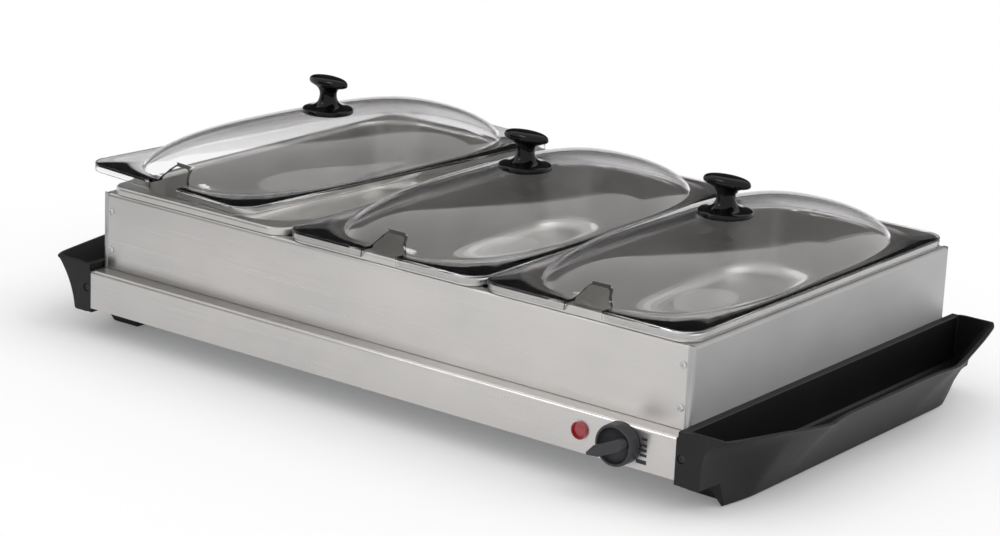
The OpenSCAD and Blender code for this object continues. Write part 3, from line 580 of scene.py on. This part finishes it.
def lid_rings(settings, half_x, half_y, rim_z, top_z):
    """Rings from the screw hole over the dome, round the rim and skirt, and back under the dome."""
    bearings = corner_bearings(half_x, half_y, settings.corner)
    dome_x, dome_y = half_x - settings.rim_side, half_y - settings.rim_front
    inner_x, inner_y = dome_x - settings.wall, dome_y - settings.wall
    low = rim_z - settings.rim_thick
    rise = top_z - rim_z
    shares = [DOME_FIRST + (DOME_LAST - DOME_FIRST) * math.sin(math.pi / 2 * i / DOME_STEPS)
              for i in range(DOME_STEPS + 1)]

    def flat(inset, z):
        return [Vector((*(box_reach(half_x - inset, half_y - inset, settings.corner - inset, b)
                          * Vector((math.cos(b), math.sin(b)))), z)) for b in bearings]

    def hole(z):
        return [Vector((SCREW_HOLE * math.cos(b), SCREW_HOLE * math.sin(b), z)) for b in bearings]

    def dome(share, x, y, z, height):
        return [dome_point(x, y, share, b, z, height) for b in bearings]

    rings = [hole(top_z)]
    rings += [dome(s, dome_x, dome_y, rim_z, rise) for s in shares]
    rings.append(dome(1.0, dome_x, dome_y, rim_z, 0))
    rings += [flat(RIM_ROUND * (1 - math.sin(a)), rim_z - RIM_ROUND * (1 - math.cos(a)))
              for a in (math.pi / 2 * i / RIM_ROUND_STEPS for i in range(RIM_ROUND_STEPS + 1))]
    skirt, thick = rim_z - settings.skirt_drop, settings.skirt_thick
    rings += [flat(0, skirt + SKIRT_ROUND), flat(SKIRT_ROUND, skirt), flat(thick - SKIRT_ROUND, skirt)]
    rings += [flat(thick, skirt + SKIRT_ROUND), flat(thick, low)]
    rings.append(dome(1.0, inner_x, inner_y, low, 0))
    rings += [dome(s, inner_x, inner_y, low, top_z - settings.wall - low) for s in reversed(shares)]
    rings.append(hole(top_z - settings.wall))
    return rings


def notch_outline(settings, rim_z):
    """The spoon notch seen from the front, as an arch with leaning sides."""
    half = settings.notch_width / 2
    arc_x, arc_z = -half + NOTCH_LEAN + NOTCH_CORNER, rim_z + settings.notch_height - NOTCH_CORNER
    points = [(-half, -NOTCH_BELOW), (-half, rim_z)]
    first, last = NOTCH_ARC
    for i in range(NOTCH_ARC_STEPS + 1):
        a = math.radians(first - (first - last) * i / NOTCH_ARC_STEPS)
        points.append((arc_x + NOTCH_CORNER * math.cos(a), arc_z + NOTCH_CORNER * math.sin(a)))
    return points + [(-x, z) for x, z in reversed(points)]


def cut_notch(piece, settings, half_y, rim_z):
    """Cuts the spoon notch into the front of a lid that stands on its skirt's edge at height 0."""
    outline = notch_outline(settings, rim_z)
    ends = (-half_y - NOTCH_BEFORE, -half_y + settings.rim_front + NOTCH_BEHIND)
    cut_away(piece, [[(x, y, z) for x, z in outline] for y in ends])


class BAINMARIE_OT_lids(bpy.types.Operator):
    """Builds the three clear lids with their domes, skirts and spoon notches"""

    bl_idname = "bainmarie.lids"
    bl_label = "Clear lids"

    def execute(self, context):
        settings = context.scene.bainmarie_lids
        clear = material_of("clear", clear_polycarbonate)
        low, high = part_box("lid_middle")
        half_x, half_y = (high.x - low.x) / 2, (high.y - low.y) / 2
        rim_z = settings.skirt_drop
        rings = lid_rings(settings, half_x, half_y, rim_z, high.z - low.z)
        for side in SIDES:
            knob = centre_of("lid_knob_" + side)
            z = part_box("lid_" + side)[0].z
            lid = shape_from("lid_shell_" + side, lambda made: skin_loop(made, rings))
            cut_notch(lid, settings, half_y, rim_z)
            turn = Matrix.Rotation(LID_TURN[side], 4, "Z")
            lid.data.transform(Matrix.Translation((knob.x, knob.y, z)) @ turn)
            lid.data.materials.clear()
            lid.data.materials.append(clear)
            shade(lid, SHARP_CLEAR)
            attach(lid, side + "_lid")
            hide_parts("lid_" + side)
        return {"FINISHED"}


# Lid knobs

# Half length, half width and height of each ring of the lid knob, from the disc to the cap, in millimetres
KNOB_RINGS = (
    (20.0, 20.0, 0.0), (20.6, 20.6, 0.5), (20.75, 20.75, 1.4), (20.75, 20.75, 3.0), (20.3, 20.3, 4.0),
    (19.2, 19.2, 4.6), (15.0, 15.0, 5.2), (11.5, 11.5, 6.3), (9.0, 9.0, 8.2), (7.6, 7.6, 10.8),
    (6.9, 6.9, 13.8), (6.9, 6.8, 16.4), (7.8, 6.9, 18.4), (10.0, 7.2, 20.2), (13.0, 7.6, 21.6),
    (17.0, 8.0, 22.3), (19.2, 8.9, 23.0), (20.0, 9.5, 24.2), (20.0, 9.5, 25.6), (19.2, 9.0, 27.2),
    (17.0, 7.9, 28.5), (13.0, 6.0, 29.4), (7.0, 3.2, 29.9),
)
LID_KNOB_STEPS = 48


def unit_circle(steps):
    return [(math.cos(math.tau * i / steps), math.sin(math.tau * i / steps)) for i in range(steps)]


class BAINMARIE_OT_lid_knobs(bpy.types.Operator):
    """Builds the glossy black knobs of the lids"""

    bl_idname = "bainmarie.lid_knobs"
    bl_label = "Lid knobs"

    def execute(self, context):
        black = material_of("knob", polished_phenolic)
        circle = unit_circle(LID_KNOB_STEPS)
        for side in SIDES:
            base = centre_of("lid_knob_" + side)
            base.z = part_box("lid_knob_" + side)[0].z
            turn = Matrix.Translation(base) @ Matrix.Rotation(LID_TURN[side], 4, "Z")
            rings = [[turn @ (MM * Vector((half_x * x, half_y * y, z))) for x, y in circle]
                     for half_x, half_y, z in KNOB_RINGS]
            knob = new_piece("lid_knob_shape_" + side, lambda made: skin_body(made, rings), black,
                             side + "_lid", SHARP_LID_KNOB)
            smooth = knob.modifiers.new("smooth", "SUBSURF")
            smooth.levels = smooth.render_levels = 1
            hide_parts("lid_knob_" + side)
        return {"FINISHED"}


# Handles: one moulding, skinned from sections across X and Z like the CAD's, with finer steps.
# All sizes are millimetres from the middle of the shell.

SHELL_X, SHELL_Y, SHELL_SHIFT = 274.0, 188.5, 5.915
SHELL_LOW, DECK_Z, FRAME_STEP = 21.6, 52.1, 1.4
WALL, HANDLE_LOW, FOOT_LOW, TROUGH_Z = 3.0, 18.0, 0.8, 21.0
LEDGE_Z = DECK_Z + 4.6

# Distances from the middle at which the foot ends, front and back, at which the tongue below the shell
# ends, and at which the wall bends in
FOOT_FRONT, FOOT_BACK, TONGUE, BEND = 160.0, 136.0, 150.0, 126.0

# Lengths over which the foot rises at its ends and over which the tongue ends
RISE_FRONT, RISE_BACK, TONGUE_RAMP = 5.0, 18.0, 1.2

# Gaps that keep the foot and the tongue off the next face, the tongue's reach under and beyond the shell's
# end, and the depth of the toe behind the wall
FOOT_GAP, TONGUE_GAP, TONGUE_IN, TONGUE_OUT, TOE = 0.3, 0.4, 14.0, 5.0, 16.0
TONGUE_BEVEL, WALL_BEVEL = 0.8, 1.0

# The wall's foot, how far its ends tuck in, and how late it flares along the middle and at the ends
WALL_FOOT, TUCK_FRONT, TUCK_BACK = 27.0, 7.0, 10.0
FLARE_MIDDLE, FLARE_FRONT, FLARE_BACK = 1.25, 8.0, 2.7

# Points up the outer wall, as a first and last share of its height, and the rounded edge of the lip,
# as distances in from it and down from it
WALL_POINTS, WALL_SPAN, LIP_ROUND = 18, (0.02, 0.98), 1.2
LIP_EDGE = ((0.0, 0.7), (0.35, 0.15), (0.9, 0.0))

# The outer lip's reach beyond the shell and its drop, each along the handle from front to back
LIP_Z = 58.0
LIP_REACH = [(0, 40), (0.12, 53.3), (0.25, 65.5), (0.3, 63.1), (0.36, 61.5), (0.6, 61.5),
             (0.67, 63.1), (0.72, 65.5), (0.78, 61.4), (0.97, 42.9), (1, 36.5)]
LIP_DROP = [(0, 0), (0.12, 1.5), (0.25, 3.75), (0.5, 5), (0.75, 4), (0.88, 2.5), (1, 0.5)]

# The trough: heights of the points down its outer wall as shares of the lip's height, what that wall gains
# below its edge, the curve into its floor, its inner wall, and the ledge that the frame stands beside
TROUGH_SHARES = (0.93, 0.86, 0.75, 0.64, 0.56, 0.48)
TROUGH_EDGE, TROUGH_THICKER, TROUGH_CURVE = 0.9, 0.6, 3.0
TROUGH_IN, TROUGH_BEVEL, LEDGE_OUT, LEDGE_BEVEL = 7.3, 1.7, 6.6, 0.7

# The closed ends of the trough: from the lip level to BRIDGE_IN, then down a slope to the ledge
BRIDGE_IN, BRIDGE_SLOPE, BRIDGE_CREASE, BRIDGE_POINTS = 10.0, (1.4, 2.6), 0.2, 8

# Stations along the handle, and those at its ends as distance from the end face, whether the trough is
# open there, and how far the edges are drawn in
STATIONS, STATION_GAP, END_GAP = 90, 1.0, 4.0
END_STATIONS = ((WALL + 1, True, 0), (WALL, False, 0), (0.9, False, 0),
                (0.6, False, 0.1), (0.25, False, 0.35), (0, False, 0.8))

# The hollow under the shell between the tongue and the foot, and the screws' sinks in the end faces
HOLLOW_IN, HOLLOW_LOW_X, HOLLOW_TOP_X = SHELL_X - 13.2 + WALL, SHELL_X + 21, SHELL_X + 23
SCREW_X, SCREW_Z, SCREW_RADIUS, SCREW_SINK, SCREW_STEPS = SHELL_X + 4.6, SHELL_LOW + 16, 3.2, 1.2, 24
OVERCUT = 1.0


def mix(a, b, share):
    return a + (b - a) * share


def within(share):
    return min(1.0, max(0.0, share))


def smooth_curve(points, u):
    """A smooth curve through points (u, value)."""
    i = 0
    while i < len(points) - 2 and u >= points[i + 1][0]:
        i += 1

    def slope(k):
        k0, k1 = max(0, k - 1), min(len(points) - 1, k + 1)
        return (points[k1][1] - points[k0][1]) / (points[k1][0] - points[k0][0])

    step = points[i + 1][0] - points[i][0]
    t = (u - points[i][0]) / step
    return ((2 * t ** 3 - 3 * t ** 2 + 1) * points[i][1] + (t ** 3 - 2 * t ** 2 + t) * slope(i) * step
            + (3 * t ** 2 - 2 * t ** 3) * points[i + 1][1] + (t ** 3 - t ** 2) * slope(i + 1) * step)


def lip_at(y):
    share = (y + SHELL_Y) / (2 * SHELL_Y)
    return SHELL_X + smooth_curve(LIP_REACH, share), LIP_Z - smooth_curve(LIP_DROP, share)


def wall_at(y, z):
    """The outer wall: it leans out along the middle and flares late at the ends."""
    u = within((abs(y) - BEND) / (SHELL_Y - BEND))
    bend = u * u * (3 - 2 * u)
    lip_x, lip_z = lip_at(y)
    tuck, flare = (TUCK_FRONT, FLARE_FRONT) if y < 0 else (TUCK_BACK, FLARE_BACK)
    low = SHELL_X + WALL_FOOT - tuck * bend
    return low + (lip_x - low) * (z / lip_z) ** mix(FLARE_MIDDLE, flare, bend)


def foot_outline(y, low, cut):
    """The section's lower points, from the shell round the tongue and foot to the wall's lower edge."""
    end = within((abs(y) - TONGUE) / TONGUE_RAMP)
    toe = TOE * within((y - FOOT_BACK) / RISE_BACK) * (1 - end)
    tongue_x = mix(SHELL_X - TONGUE_IN, SHELL_X + TONGUE_OUT, end)
    tongue_z = mix(SHELL_LOW - TONGUE_GAP, HANDLE_LOW, end) + cut
    return [(SHELL_X, tongue_z), (tongue_x, tongue_z),
            (tongue_x + TONGUE_BEVEL, mix(FOOT_LOW, HANDLE_LOW - FOOT_GAP, end) + cut),
            (wall_at(y, low) - 2 * WALL_BEVEL - cut - toe, mix(FOOT_LOW + cut, low, end)),
            (wall_at(y, low) - WALL_BEVEL - cut, low)]


def handle_section(y, is_open, cut):
    """The handle's outline at one station, with its edges drawn in by cut."""
    lip_x, lip_z = lip_at(y)
    rise = (-y - FOOT_FRONT) / RISE_FRONT if y < 0 else (y - FOOT_BACK) / RISE_BACK
    low = mix(FOOT_LOW, HANDLE_LOW - FOOT_GAP, within(rise)) + cut
    top = lip_z - cut
    points = foot_outline(y, low, cut)
    for i in range(WALL_POINTS):
        z = mix(low, top - LIP_ROUND, mix(*WALL_SPAN, i / (WALL_POINTS - 1)))
        points.append((wall_at(y, z) - cut, z))
    points += [(lip_x - cut - inward, top - down) for inward, down in LIP_EDGE]
    points.append((lip_x - WALL + TROUGH_THICKER, top))
    if is_open:
        inner = SHELL_X + TROUGH_IN
        points.append((lip_x - WALL - TROUGH_EDGE, lip_z - TROUGH_EDGE))
        heights = [share * lip_z for share in TROUGH_SHARES]
        points += [(wall_at(y, z) - WALL - TROUGH_THICKER, z) for z in heights]
        points += [(wall_at(y, TROUGH_Z + TROUGH_CURVE) - WALL - TROUGH_CURVE, TROUGH_Z),
                   (inner + TROUGH_BEVEL, TROUGH_Z), (inner, TROUGH_Z + TROUGH_BEVEL),
                   (inner, LEDGE_Z - LEDGE_BEVEL)]
    else:
        inner, outer = SHELL_X + BRIDGE_IN, lip_x - WALL - LIP_ROUND
        upper, lower = BRIDGE_SLOPE
        points += [(mix(outer, inner, i / BRIDGE_POINTS), top) for i in range(BRIDGE_POINTS)]
        points += [(inner, top - BRIDGE_CREASE), (inner - upper, (top + LEDGE_Z) / 2),
                   (inner - lower, LEDGE_Z + BRIDGE_CREASE)]
    return points + [(SHELL_X + LEDGE_OUT, LEDGE_Z - cut), (SHELL_X + FRAME_STEP, LEDGE_Z - cut),
                     (SHELL_X + FRAME_STEP, DECK_Z), (SHELL_X, DECK_Z)]


def handle_stations():
    """Stations along the handle as (y, trough open, edge rounding)."""
    ends = [(SHELL_Y - distance, is_open, cut) for distance, is_open, cut in END_STATIONS]
    middle = {-FOOT_FRONT - RISE_FRONT, -FOOT_FRONT, -TONGUE - TONGUE_RAMP, -TONGUE,
              FOOT_BACK, TONGUE, TONGUE + TONGUE_RAMP, FOOT_BACK + RISE_BACK}
    reach = SHELL_Y - WALL - END_GAP
    steps = [mix(-reach, reach, i / STATIONS) for i in range(STATIONS + 1)]
    middle.update(y for y in steps if all(abs(y - kept) > STATION_GAP for kept in middle))
    return ([(-y, is_open, cut) for y, is_open, cut in reversed(ends)]
            + [(y, True, 0) for y in sorted(middle)] + ends)


def handle_point(x, y, z, side):
    """From the right handle's millimetres to the scene; the left handle is turned half round."""
    return Vector((side * x, side * y + SHELL_SHIFT, z)) * MM


def screw_ring(y, side):
    """A circle round a screw of the end faces."""
    return [handle_point(SCREW_X + SCREW_RADIUS * out, y, SCREW_Z + SCREW_RADIUS * up, side)
            for up, out in unit_circle(SCREW_STEPS)]


def handle_plastic():
    return material_of("handle", moulded_plastic, "moulded_black_polypropylene",
                       "#070708", "#0d0d0f", 0.5, 0.8, 0.02, 0.34)


class BAINMARIE_OT_handles(bpy.types.Operator):
    """Makes the handles, smooth where the CAD's are faceted"""

    bl_idname = "bainmarie.handles"
    bl_label = "Handles"

    def execute(self, context):
        hollow = [(HOLLOW_IN, -OVERCUT), (HOLLOW_LOW_X, -OVERCUT),
                  (HOLLOW_TOP_X, HANDLE_LOW), (HOLLOW_IN, HANDLE_LOW)]
        for word, side in (("left", -1), ("right", 1)):
            rings = [[handle_point(x, y, z, side) for x, z in handle_section(y, is_open, cut)]
                     for y, is_open, cut in handle_stations()]
            piece = new_piece("handle_shape_" + word, lambda made: skin_body(made, rings), handle_plastic(),
                              "base", SHARP_HANDLE)
            cut_away(piece, [[handle_point(x, y, z, side) for x, z in hollow]
                             for y in (-TONGUE + WALL, FOOT_BACK - WALL)])
            for end in (-1, 1):
                depths = (end * (SHELL_Y - SCREW_SINK), end * (SHELL_Y + OVERCUT))
                cut_away(piece, [screw_ring(y, side) for y in depths])
            shade(piece, SHARP_HANDLE)
            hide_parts("handle_" + word)
        return {"FINISHED"}


# Control knob, lamp and dial


class DialSettings(bpy.types.PropertyGroup):
    mark_offset: bpy.props.FloatProperty(
        name="Mark offset", description="Distance of the dial marks from the knob's axis",
        default=20.8 * MM, unit="LENGTH")
    mark_width: bpy.props.FloatProperty(
        name="Mark width", description="Width of one dial mark", default=2 * MM, unit="LENGTH")
    mark_length: bpy.props.FloatProperty(
        name="Mark length", description="Length of one dial mark", default=5.6 * MM, unit="LENGTH")
    lens_wall: bpy.props.FloatProperty(
        name="Lens wall", description="Wall round the lamp lens's sunk face", default=0.7 * MM, unit="LENGTH")
    lens_depth: bpy.props.FloatProperty(
        name="Lens depth", description="Depth of the lamp lens's sunk face", default=1.9 * MM, unit="LENGTH")


def add_box(made, centre, half):
    """Adds a box with the given half sizes."""
    corners = bmesh.ops.create_cube(made, size=2.0)["verts"]
    place = Matrix.Translation(centre) @ Matrix.Diagonal((*half, 1.0))
    bmesh.ops.transform(made, matrix=place, verts=corners)


# Height above the knob's axis in millimetres and share of the full size of each dial mark
DIAL_MARKS = ((6.5, 0.9), (2.1, 0.9), (-1.5, 1.1), (-5.1, 1.0), (-10.1, 1.5))
INK_GAP, INK_HALF = 0.03 * MM, 0.04 * MM

# The lamp's lens: radius of its stem, its gap to the panel, how far it stands proud, the bevel of its edge,
# and share of its radius and rise of each ring of its sunk face
LENS_STEM, LENS_GAP, LENS_PROUD, LENS_BEVEL = 5 * MM, 0.02 * MM, 2.2 * MM, 0.3 * MM
LENS_FACE = ((0.5, 0.2 * MM), (0.1, 0.3 * MM))
LENS_STEPS = 48

# Radius and height of each ring of the control knob, from its back to the middle of its dished face,
# the outline of its grip, and the grip's share of that outline at each height, in millimetres
DIAL_RINGS = ((15.3, 0.0), (15.3, 1.0), (15.1, 9.0), (14.8, 9.9), (14.2, 10.4), (13.6, 10.5), (13.0, 10.3),
              (12.4, 9.4), (10.5, 8.2), (7.0, 7.4), (2.0, 7.0))
GRIP_HALF, GRIP_TAIL = 4.2, -9.1
GRIP_OUTLINE = [(18.7, -0.8), (18.7, 0.8), (10.3, GRIP_HALF)] + [
    (GRIP_TAIL + GRIP_HALF * math.cos(math.radians(a)), GRIP_HALF * math.sin(math.radians(a)))
    for a in range(90, 271, 15)
] + [(10.3, -GRIP_HALF)]
GRIP_RINGS = ((1.0, 6.0), (1.0, 17.0), (0.97, 17.6), (0.88, 18.0))
DIAL_STEPS = 64
POINTER_DEG = 205


def turned(points, degrees):
    c, s = math.cos(math.radians(degrees)), math.sin(math.radians(degrees))
    return [(c * x - s * y, s * x + c * y) for x, y in points]


class BAINMARIE_OT_controls(bpy.types.Operator):
    """Makes the control knob and the lamp's lens, and prints the dial marks"""

    bl_idname = "bainmarie.controls"
    bl_label = "Controls"

    def execute(self, context):
        settings = context.scene.bainmarie_dial
        grey = material_of(
            "control", moulded_plastic, "moulded_grey_phenolic", "#1f1f24", "#28282d", 0.36, 0.5, 0.01)
        red = material_of("lens", red_lamp_lens)
        dress(["control_knob"], grey)
        dress(["lamp_lens"], red)
        axis = centre_of("thermostat_shaft")
        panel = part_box("base_cover")[0].y
        ink = material_of("ink", printed_ink)

        def print_marks(made):
            length, width = settings.mark_length, settings.mark_width
            left = axis.x + settings.mark_offset - length
            for up, grow in DIAL_MARKS:
                centre = Vector((left + length * (2 - grow) / 2, panel - INK_GAP, axis.z + up * MM))
                add_box(made, centre, (length * grow / 2, INK_HALF, width * grow / 2))

        def mould_lens(made):
            low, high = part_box("lamp_lens")
            middle = (low + high) / 2
            back, front, radius = panel - LENS_GAP, panel - LENS_PROUD, (high.x - low.x) / 2
            inner, face = radius - settings.lens_wall, front + settings.lens_depth
            steps = [(LENS_STEM, high.y), (LENS_STEM, back), (radius, back), (radius, front + LENS_BEVEL),
                     (radius - LENS_BEVEL, front), (inner, front), (inner, face)]
            steps += [(radius * share, face - rise) for share, rise in LENS_FACE]
            skin_body(made, [[(middle.x + r * x, y, middle.z + r * z) for x, z in unit_circle(LENS_STEPS)]
                             for r, y in steps])

        def mould_knob(made):
            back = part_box("control_knob")[1].y
            place = Matrix.Translation((axis.x, back, axis.z)) @ Matrix.Rotation(math.pi / 2, 4, "X")
            place = place @ Matrix.Scale(MM, 4)
            grip = turned(GRIP_OUTLINE, POINTER_DEG)
            for outline, rings in ((unit_circle(DIAL_STEPS), DIAL_RINGS), (grip, GRIP_RINGS)):
                skin_body(made, [[place @ Vector((r * x, r * y, z)) for x, y in outline] for r, z in rings])

        knob = new_piece("control_knob_shape", mould_knob, grey, "control", SHARP_SMALL)
        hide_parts("control_knob")
        lens = new_piece("lamp_lens_shape", mould_lens, red, "base", SHARP_CLEAR)
        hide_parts("lamp_lens")
        new_piece("dial_marks", print_marks, ink, "base", SHARP_SMALL)
        return {"FINISHED"}


# Steel parts


class BAINMARIE_OT_shell(bpy.types.Operator):
    """Finishes the base shell, the pan frame and the pans in stainless steel"""

    bl_idname = "bainmarie.shell"
    bl_label = "Steel parts"

    def execute(self, context):
        along_x = material_of(
            "brushed_x", brushed_stainless, "belt_brushed_stainless_steel", "X", "#c4c2c0", "#ccc9c7",
            0.3, 0.7)
        # The end panels' copy of the brushed steel is painted darker than the front's, as painted shade on
        # the sides
        along_y_shaded = material_of(
            "brushed_y_shaded", brushed_stainless, "belt_brushed_stainless_end_painted_shade", "Y", "#b8b7b7", "#c1c0c0",
            0.5, 0.85)
        dress(["base_cover", "frame_front", "frame_back"], along_x)
        dress(["frame_left", "frame_right"], along_y_shaded)
        dress(["pan_" + side for side in SIDES], material_of("pan", deep_drawn_stainless))
        return {"FINISHED"}


class BAINMARIE_OT_plastic(bpy.types.Operator):
    """Finishes the end handles, the feet and the cord bushing"""

    bl_idname = "bainmarie.plastic"
    bl_label = "Handles and feet"

    def execute(self, context):
        dress(["handle_left", "handle_right"], handle_plastic(), SHARP_SMALL)
        dress([n for n in NODES if n.startswith("foot_pad")] + ["cord_bushing"],
              material_of("rubber", black_rubber))
        return {"FINISHED"}


class BAINMARIE_OT_inner_parts(bpy.types.Operator):
    """Finishes the fasteners and everything inside the base and the frame"""

    bl_idname = "bainmarie.inner_parts"
    bl_label = "Inner parts and fasteners"

    def execute(self, context):
        sheet = [n for n in NODES if n.startswith(("bracket", "cross_bar", "end_plate"))]
        dress(sheet + ["bottom_plate", "reflector_tray"], material_of("sheet", galvanised_sheet))
        plated = [n for n in NODES if n.startswith(("frame_screws", "lid_screw"))]
        plated += ["bottom_screws", "mounting_screws", "tray_studs", "tray_nuts", "thermostat_shaft"]
        dress(plated, material_of("zinc", zinc_plated_steel))
        dress(["handle_screws"], material_of(
            "dark_screw", moulded_plastic, "black_oxide_steel", "#0c0c0d", "#161617", 0.4, 0.5, 0.01))
        dress([n for n in NODES if n.startswith("heater")], material_of("foil", heater_foil))
        dress(["insulation_mat"], material_of("mat", glass_fibre_mat))
        nylon = material_of("nylon", moulded_plastic, "natural_nylon", "#ded7c4", "#e9e3d3", 0.45, 0.8, 0.02)
        dress(["terminal_block", "lamp_body"], nylon)
        dress(["thermostat_body"], material_of(
            "phenolic", moulded_plastic, "moulded_brown_phenolic", "#5a4432", "#6a5240", 0.5, 0.8, 0.02))
        dress(["thermal_cutout"], material_of("zinc", zinc_plated_steel))
        for node, dark, light in (("live_wire", "#5a3217", "#6b3f20"), ("neutral_wire", "#1f4a94", "#2b5aa8"),
                                  ("earth_wire", "#4d7a1e", "#7f9c22")):
            dress([node], material_of(node, moulded_plastic, "soft_pvc_" + node, dark, light, 0.4, 1.0, 0.01))
        return {"FINISHED"}


# Stage


class StageSettings(bpy.types.PropertyGroup):
    floor_colour: bpy.props.FloatVectorProperty(
        name="Floor", description="Colour of the studio floor", subtype="COLOR",
        default=(0.93, 0.93, 0.93), min=0.0, max=1.0)
    floor_lift: bpy.props.FloatProperty(
        name="Shadow lift", description="Share of even white in the floor where it is seen", default=0.15)
    sky: bpy.props.FloatProperty(
        name="Soft light", description="Strength of the light from all round", default=0.9)
    sun: bpy.props.FloatProperty(
        name="Main light", description="Strength of the soft light from the back right", default=0.75)


def soft_sun(name, direction, spread_deg, strength):
    lamp = bpy.data.lights.new(name, "SUN")
    lamp.energy = strength
    lamp.angle = math.radians(spread_deg)
    holder = bpy.data.objects.new(name, lamp)
    bpy.context.scene.collection.objects.link(holder)
    holder.rotation_euler = Vector(direction).to_track_quat("Z", "Y").to_euler()
    holder.visible_glossy = False


def studio_card(name, centre, width, height, material):
    """A card round the set that faces the server and only mirrors in it, as a photographer's flag does."""
    card = new_plane(name, width / 2, height / 2, material)
    turn = (-Vector(centre)).to_track_quat("Z", "Y").to_matrix().to_4x4()
    card.matrix_world = Matrix.Translation(centre) @ turn
    card.visible_camera = card.visible_diffuse = card.visible_shadow = False
    card.visible_volume_scatter = False


def white_world(sky):
    """A world that lights softly and is white where it is seen, mirrored or seen through."""
    world = bpy.data.worlds.new("studio_world")
    bpy.context.scene.world = world
    world.use_nodes = True
    tree = world.node_tree
    tree.nodes.clear()
    strength = add_node(
        tree, "ShaderNodeMapRange",
        values={"To Min": sky, "To Max": 1.0}, links={"Value": rays_that_show(tree)})
    light = add_node(
        tree, "ShaderNodeBackground", values={"Color": (1.0, 1.0, 1.0, 1.0)},
        links={"Strength": strength.outputs[0]})
    add_node(tree, "ShaderNodeOutputWorld", links={"Surface": light.outputs[0]})


# The photograph's camera: azimuth, elevation and roll in degrees, place in metres, lens in millimetres
CAMERA_ANGLES = (36.51, 16.37, 2.60)
CAMERA_PLACE = (1.3035, -1.7810, 0.7223)
CAMERA_SENSOR, CAMERA_LENS, CAMERA_FAR = 36, 107.77, 50

# In metres: how far the floor reaches, and centre, width and height of each card
FLOOR_REACH = 8.0
CARD_BEHIND = ((-0.9, 1.2, 0.72), 2.6, 1.1)
CARD_LEFT = ((-0.62, -0.55, 0.2), 0.5, 0.4)
SOFT_BOX = ((-1.1, -1.3, 1.7), 0.6, 0.4)
BLACK_TONE, GREY_TONE, SOFT_BOX_STRENGTH = 0.05, 0.25, 9.0
SUN_FROM, SUN_SPREAD_DEG = (0.55, 0.45, 1.0), 40


def make_camera():
    azimuth, elevation, roll = (math.radians(d) for d in CAMERA_ANGLES)
    back = Vector((math.sin(azimuth) * math.cos(elevation), -math.cos(azimuth) * math.cos(elevation),
                   math.sin(elevation)))
    right = (-back).cross(Vector((0, 0, 1))).normalized()
    up = right.cross(-back)
    x_axis = math.cos(roll) * right + math.sin(roll) * up
    y_axis = -math.sin(roll) * right + math.cos(roll) * up
    data = bpy.data.cameras.new("photo_camera")
    data.sensor_width = CAMERA_SENSOR
    data.lens = CAMERA_LENS
    data.clip_end = CAMERA_FAR
    camera = bpy.data.objects.new("photo_camera", data)
    bpy.context.scene.collection.objects.link(camera)
    turn = Matrix((x_axis, y_axis, back)).transposed().to_4x4()
    camera.matrix_world = Matrix.Translation(CAMERA_PLACE) @ turn
    bpy.context.scene.camera = camera


class BAINMARIE_OT_stage(bpy.types.Operator):
    """Sets the camera, the floor, the lamps and the white world"""

    bl_idname = "bainmarie.stage"
    bl_label = "Studio"

    def execute(self, context):
        settings = context.scene.bainmarie_stage
        make_camera()
        white_world(settings.sky)
        new_plane("studio_floor", FLOOR_REACH, FLOOR_REACH,
                           painted_floor(settings.floor_colour, settings.floor_lift))
        soft_sun("soft_main_light", SUN_FROM, SUN_SPREAD_DEG, settings.sun)
        studio_card("card_behind", *CARD_BEHIND, painted_card("matt_black_card", BLACK_TONE))
        studio_card("card_left", *CARD_LEFT, painted_card("matt_grey_card", GREY_TONE))
        studio_card("soft_box", *SOFT_BOX, lit_card("soft_box_light", SOFT_BOX_STRENGTH))
        context.scene.view_settings.view_transform = "Standard"
        return {"FINISHED"}


class BAINMARIE_PT_panel(bpy.types.Panel):
    """Lists the steps that dress the bain-marie"""

    bl_label = "Bain-marie"
    bl_idname = "BAINMARIE_PT_panel"
    bl_space_type = "VIEW_3D"
    bl_region_type = "UI"
    bl_category = "Bain-marie"

    def draw(self, context):
        for operator in OPERATORS:
            self.layout.operator(operator.bl_idname)


SETTINGS = {"bainmarie_stage": StageSettings, "bainmarie_lids": LidSettings, "bainmarie_dial": DialSettings}
OPERATORS = (
    BAINMARIE_OT_stage, BAINMARIE_OT_shell, BAINMARIE_OT_plastic, BAINMARIE_OT_controls,
    BAINMARIE_OT_handles, BAINMARIE_OT_inner_parts, BAINMARIE_OT_lids, BAINMARIE_OT_lid_knobs,
)


def register():
    for group in SETTINGS.values():
        bpy.utils.register_class(group)
    for operator in OPERATORS:
        bpy.utils.register_class(operator)
    bpy.utils.register_class(BAINMARIE_PT_panel)
    for name, group in SETTINGS.items():
        setattr(bpy.types.Scene, name, bpy.props.PointerProperty(type=group))


def unregister():
    for name in SETTINGS:
        delattr(bpy.types.Scene, name)
    bpy.utils.unregister_class(BAINMARIE_PT_panel)
    for operator in reversed(OPERATORS):
        bpy.utils.unregister_class(operator)
    for group in SETTINGS.values():
        bpy.utils.unregister_class(group)


def main():
    register()
    bpy.ops.bainmarie.stage()
    bpy.ops.bainmarie.shell()
    bpy.ops.bainmarie.plastic()
    bpy.ops.bainmarie.handles()
    bpy.ops.bainmarie.controls()
    bpy.ops.bainmarie.inner_parts()
    bpy.ops.bainmarie.lids()
    bpy.ops.bainmarie.lid_knobs()
    bpy.context.view_layer.update()


if __name__ == "__main__":
    main()
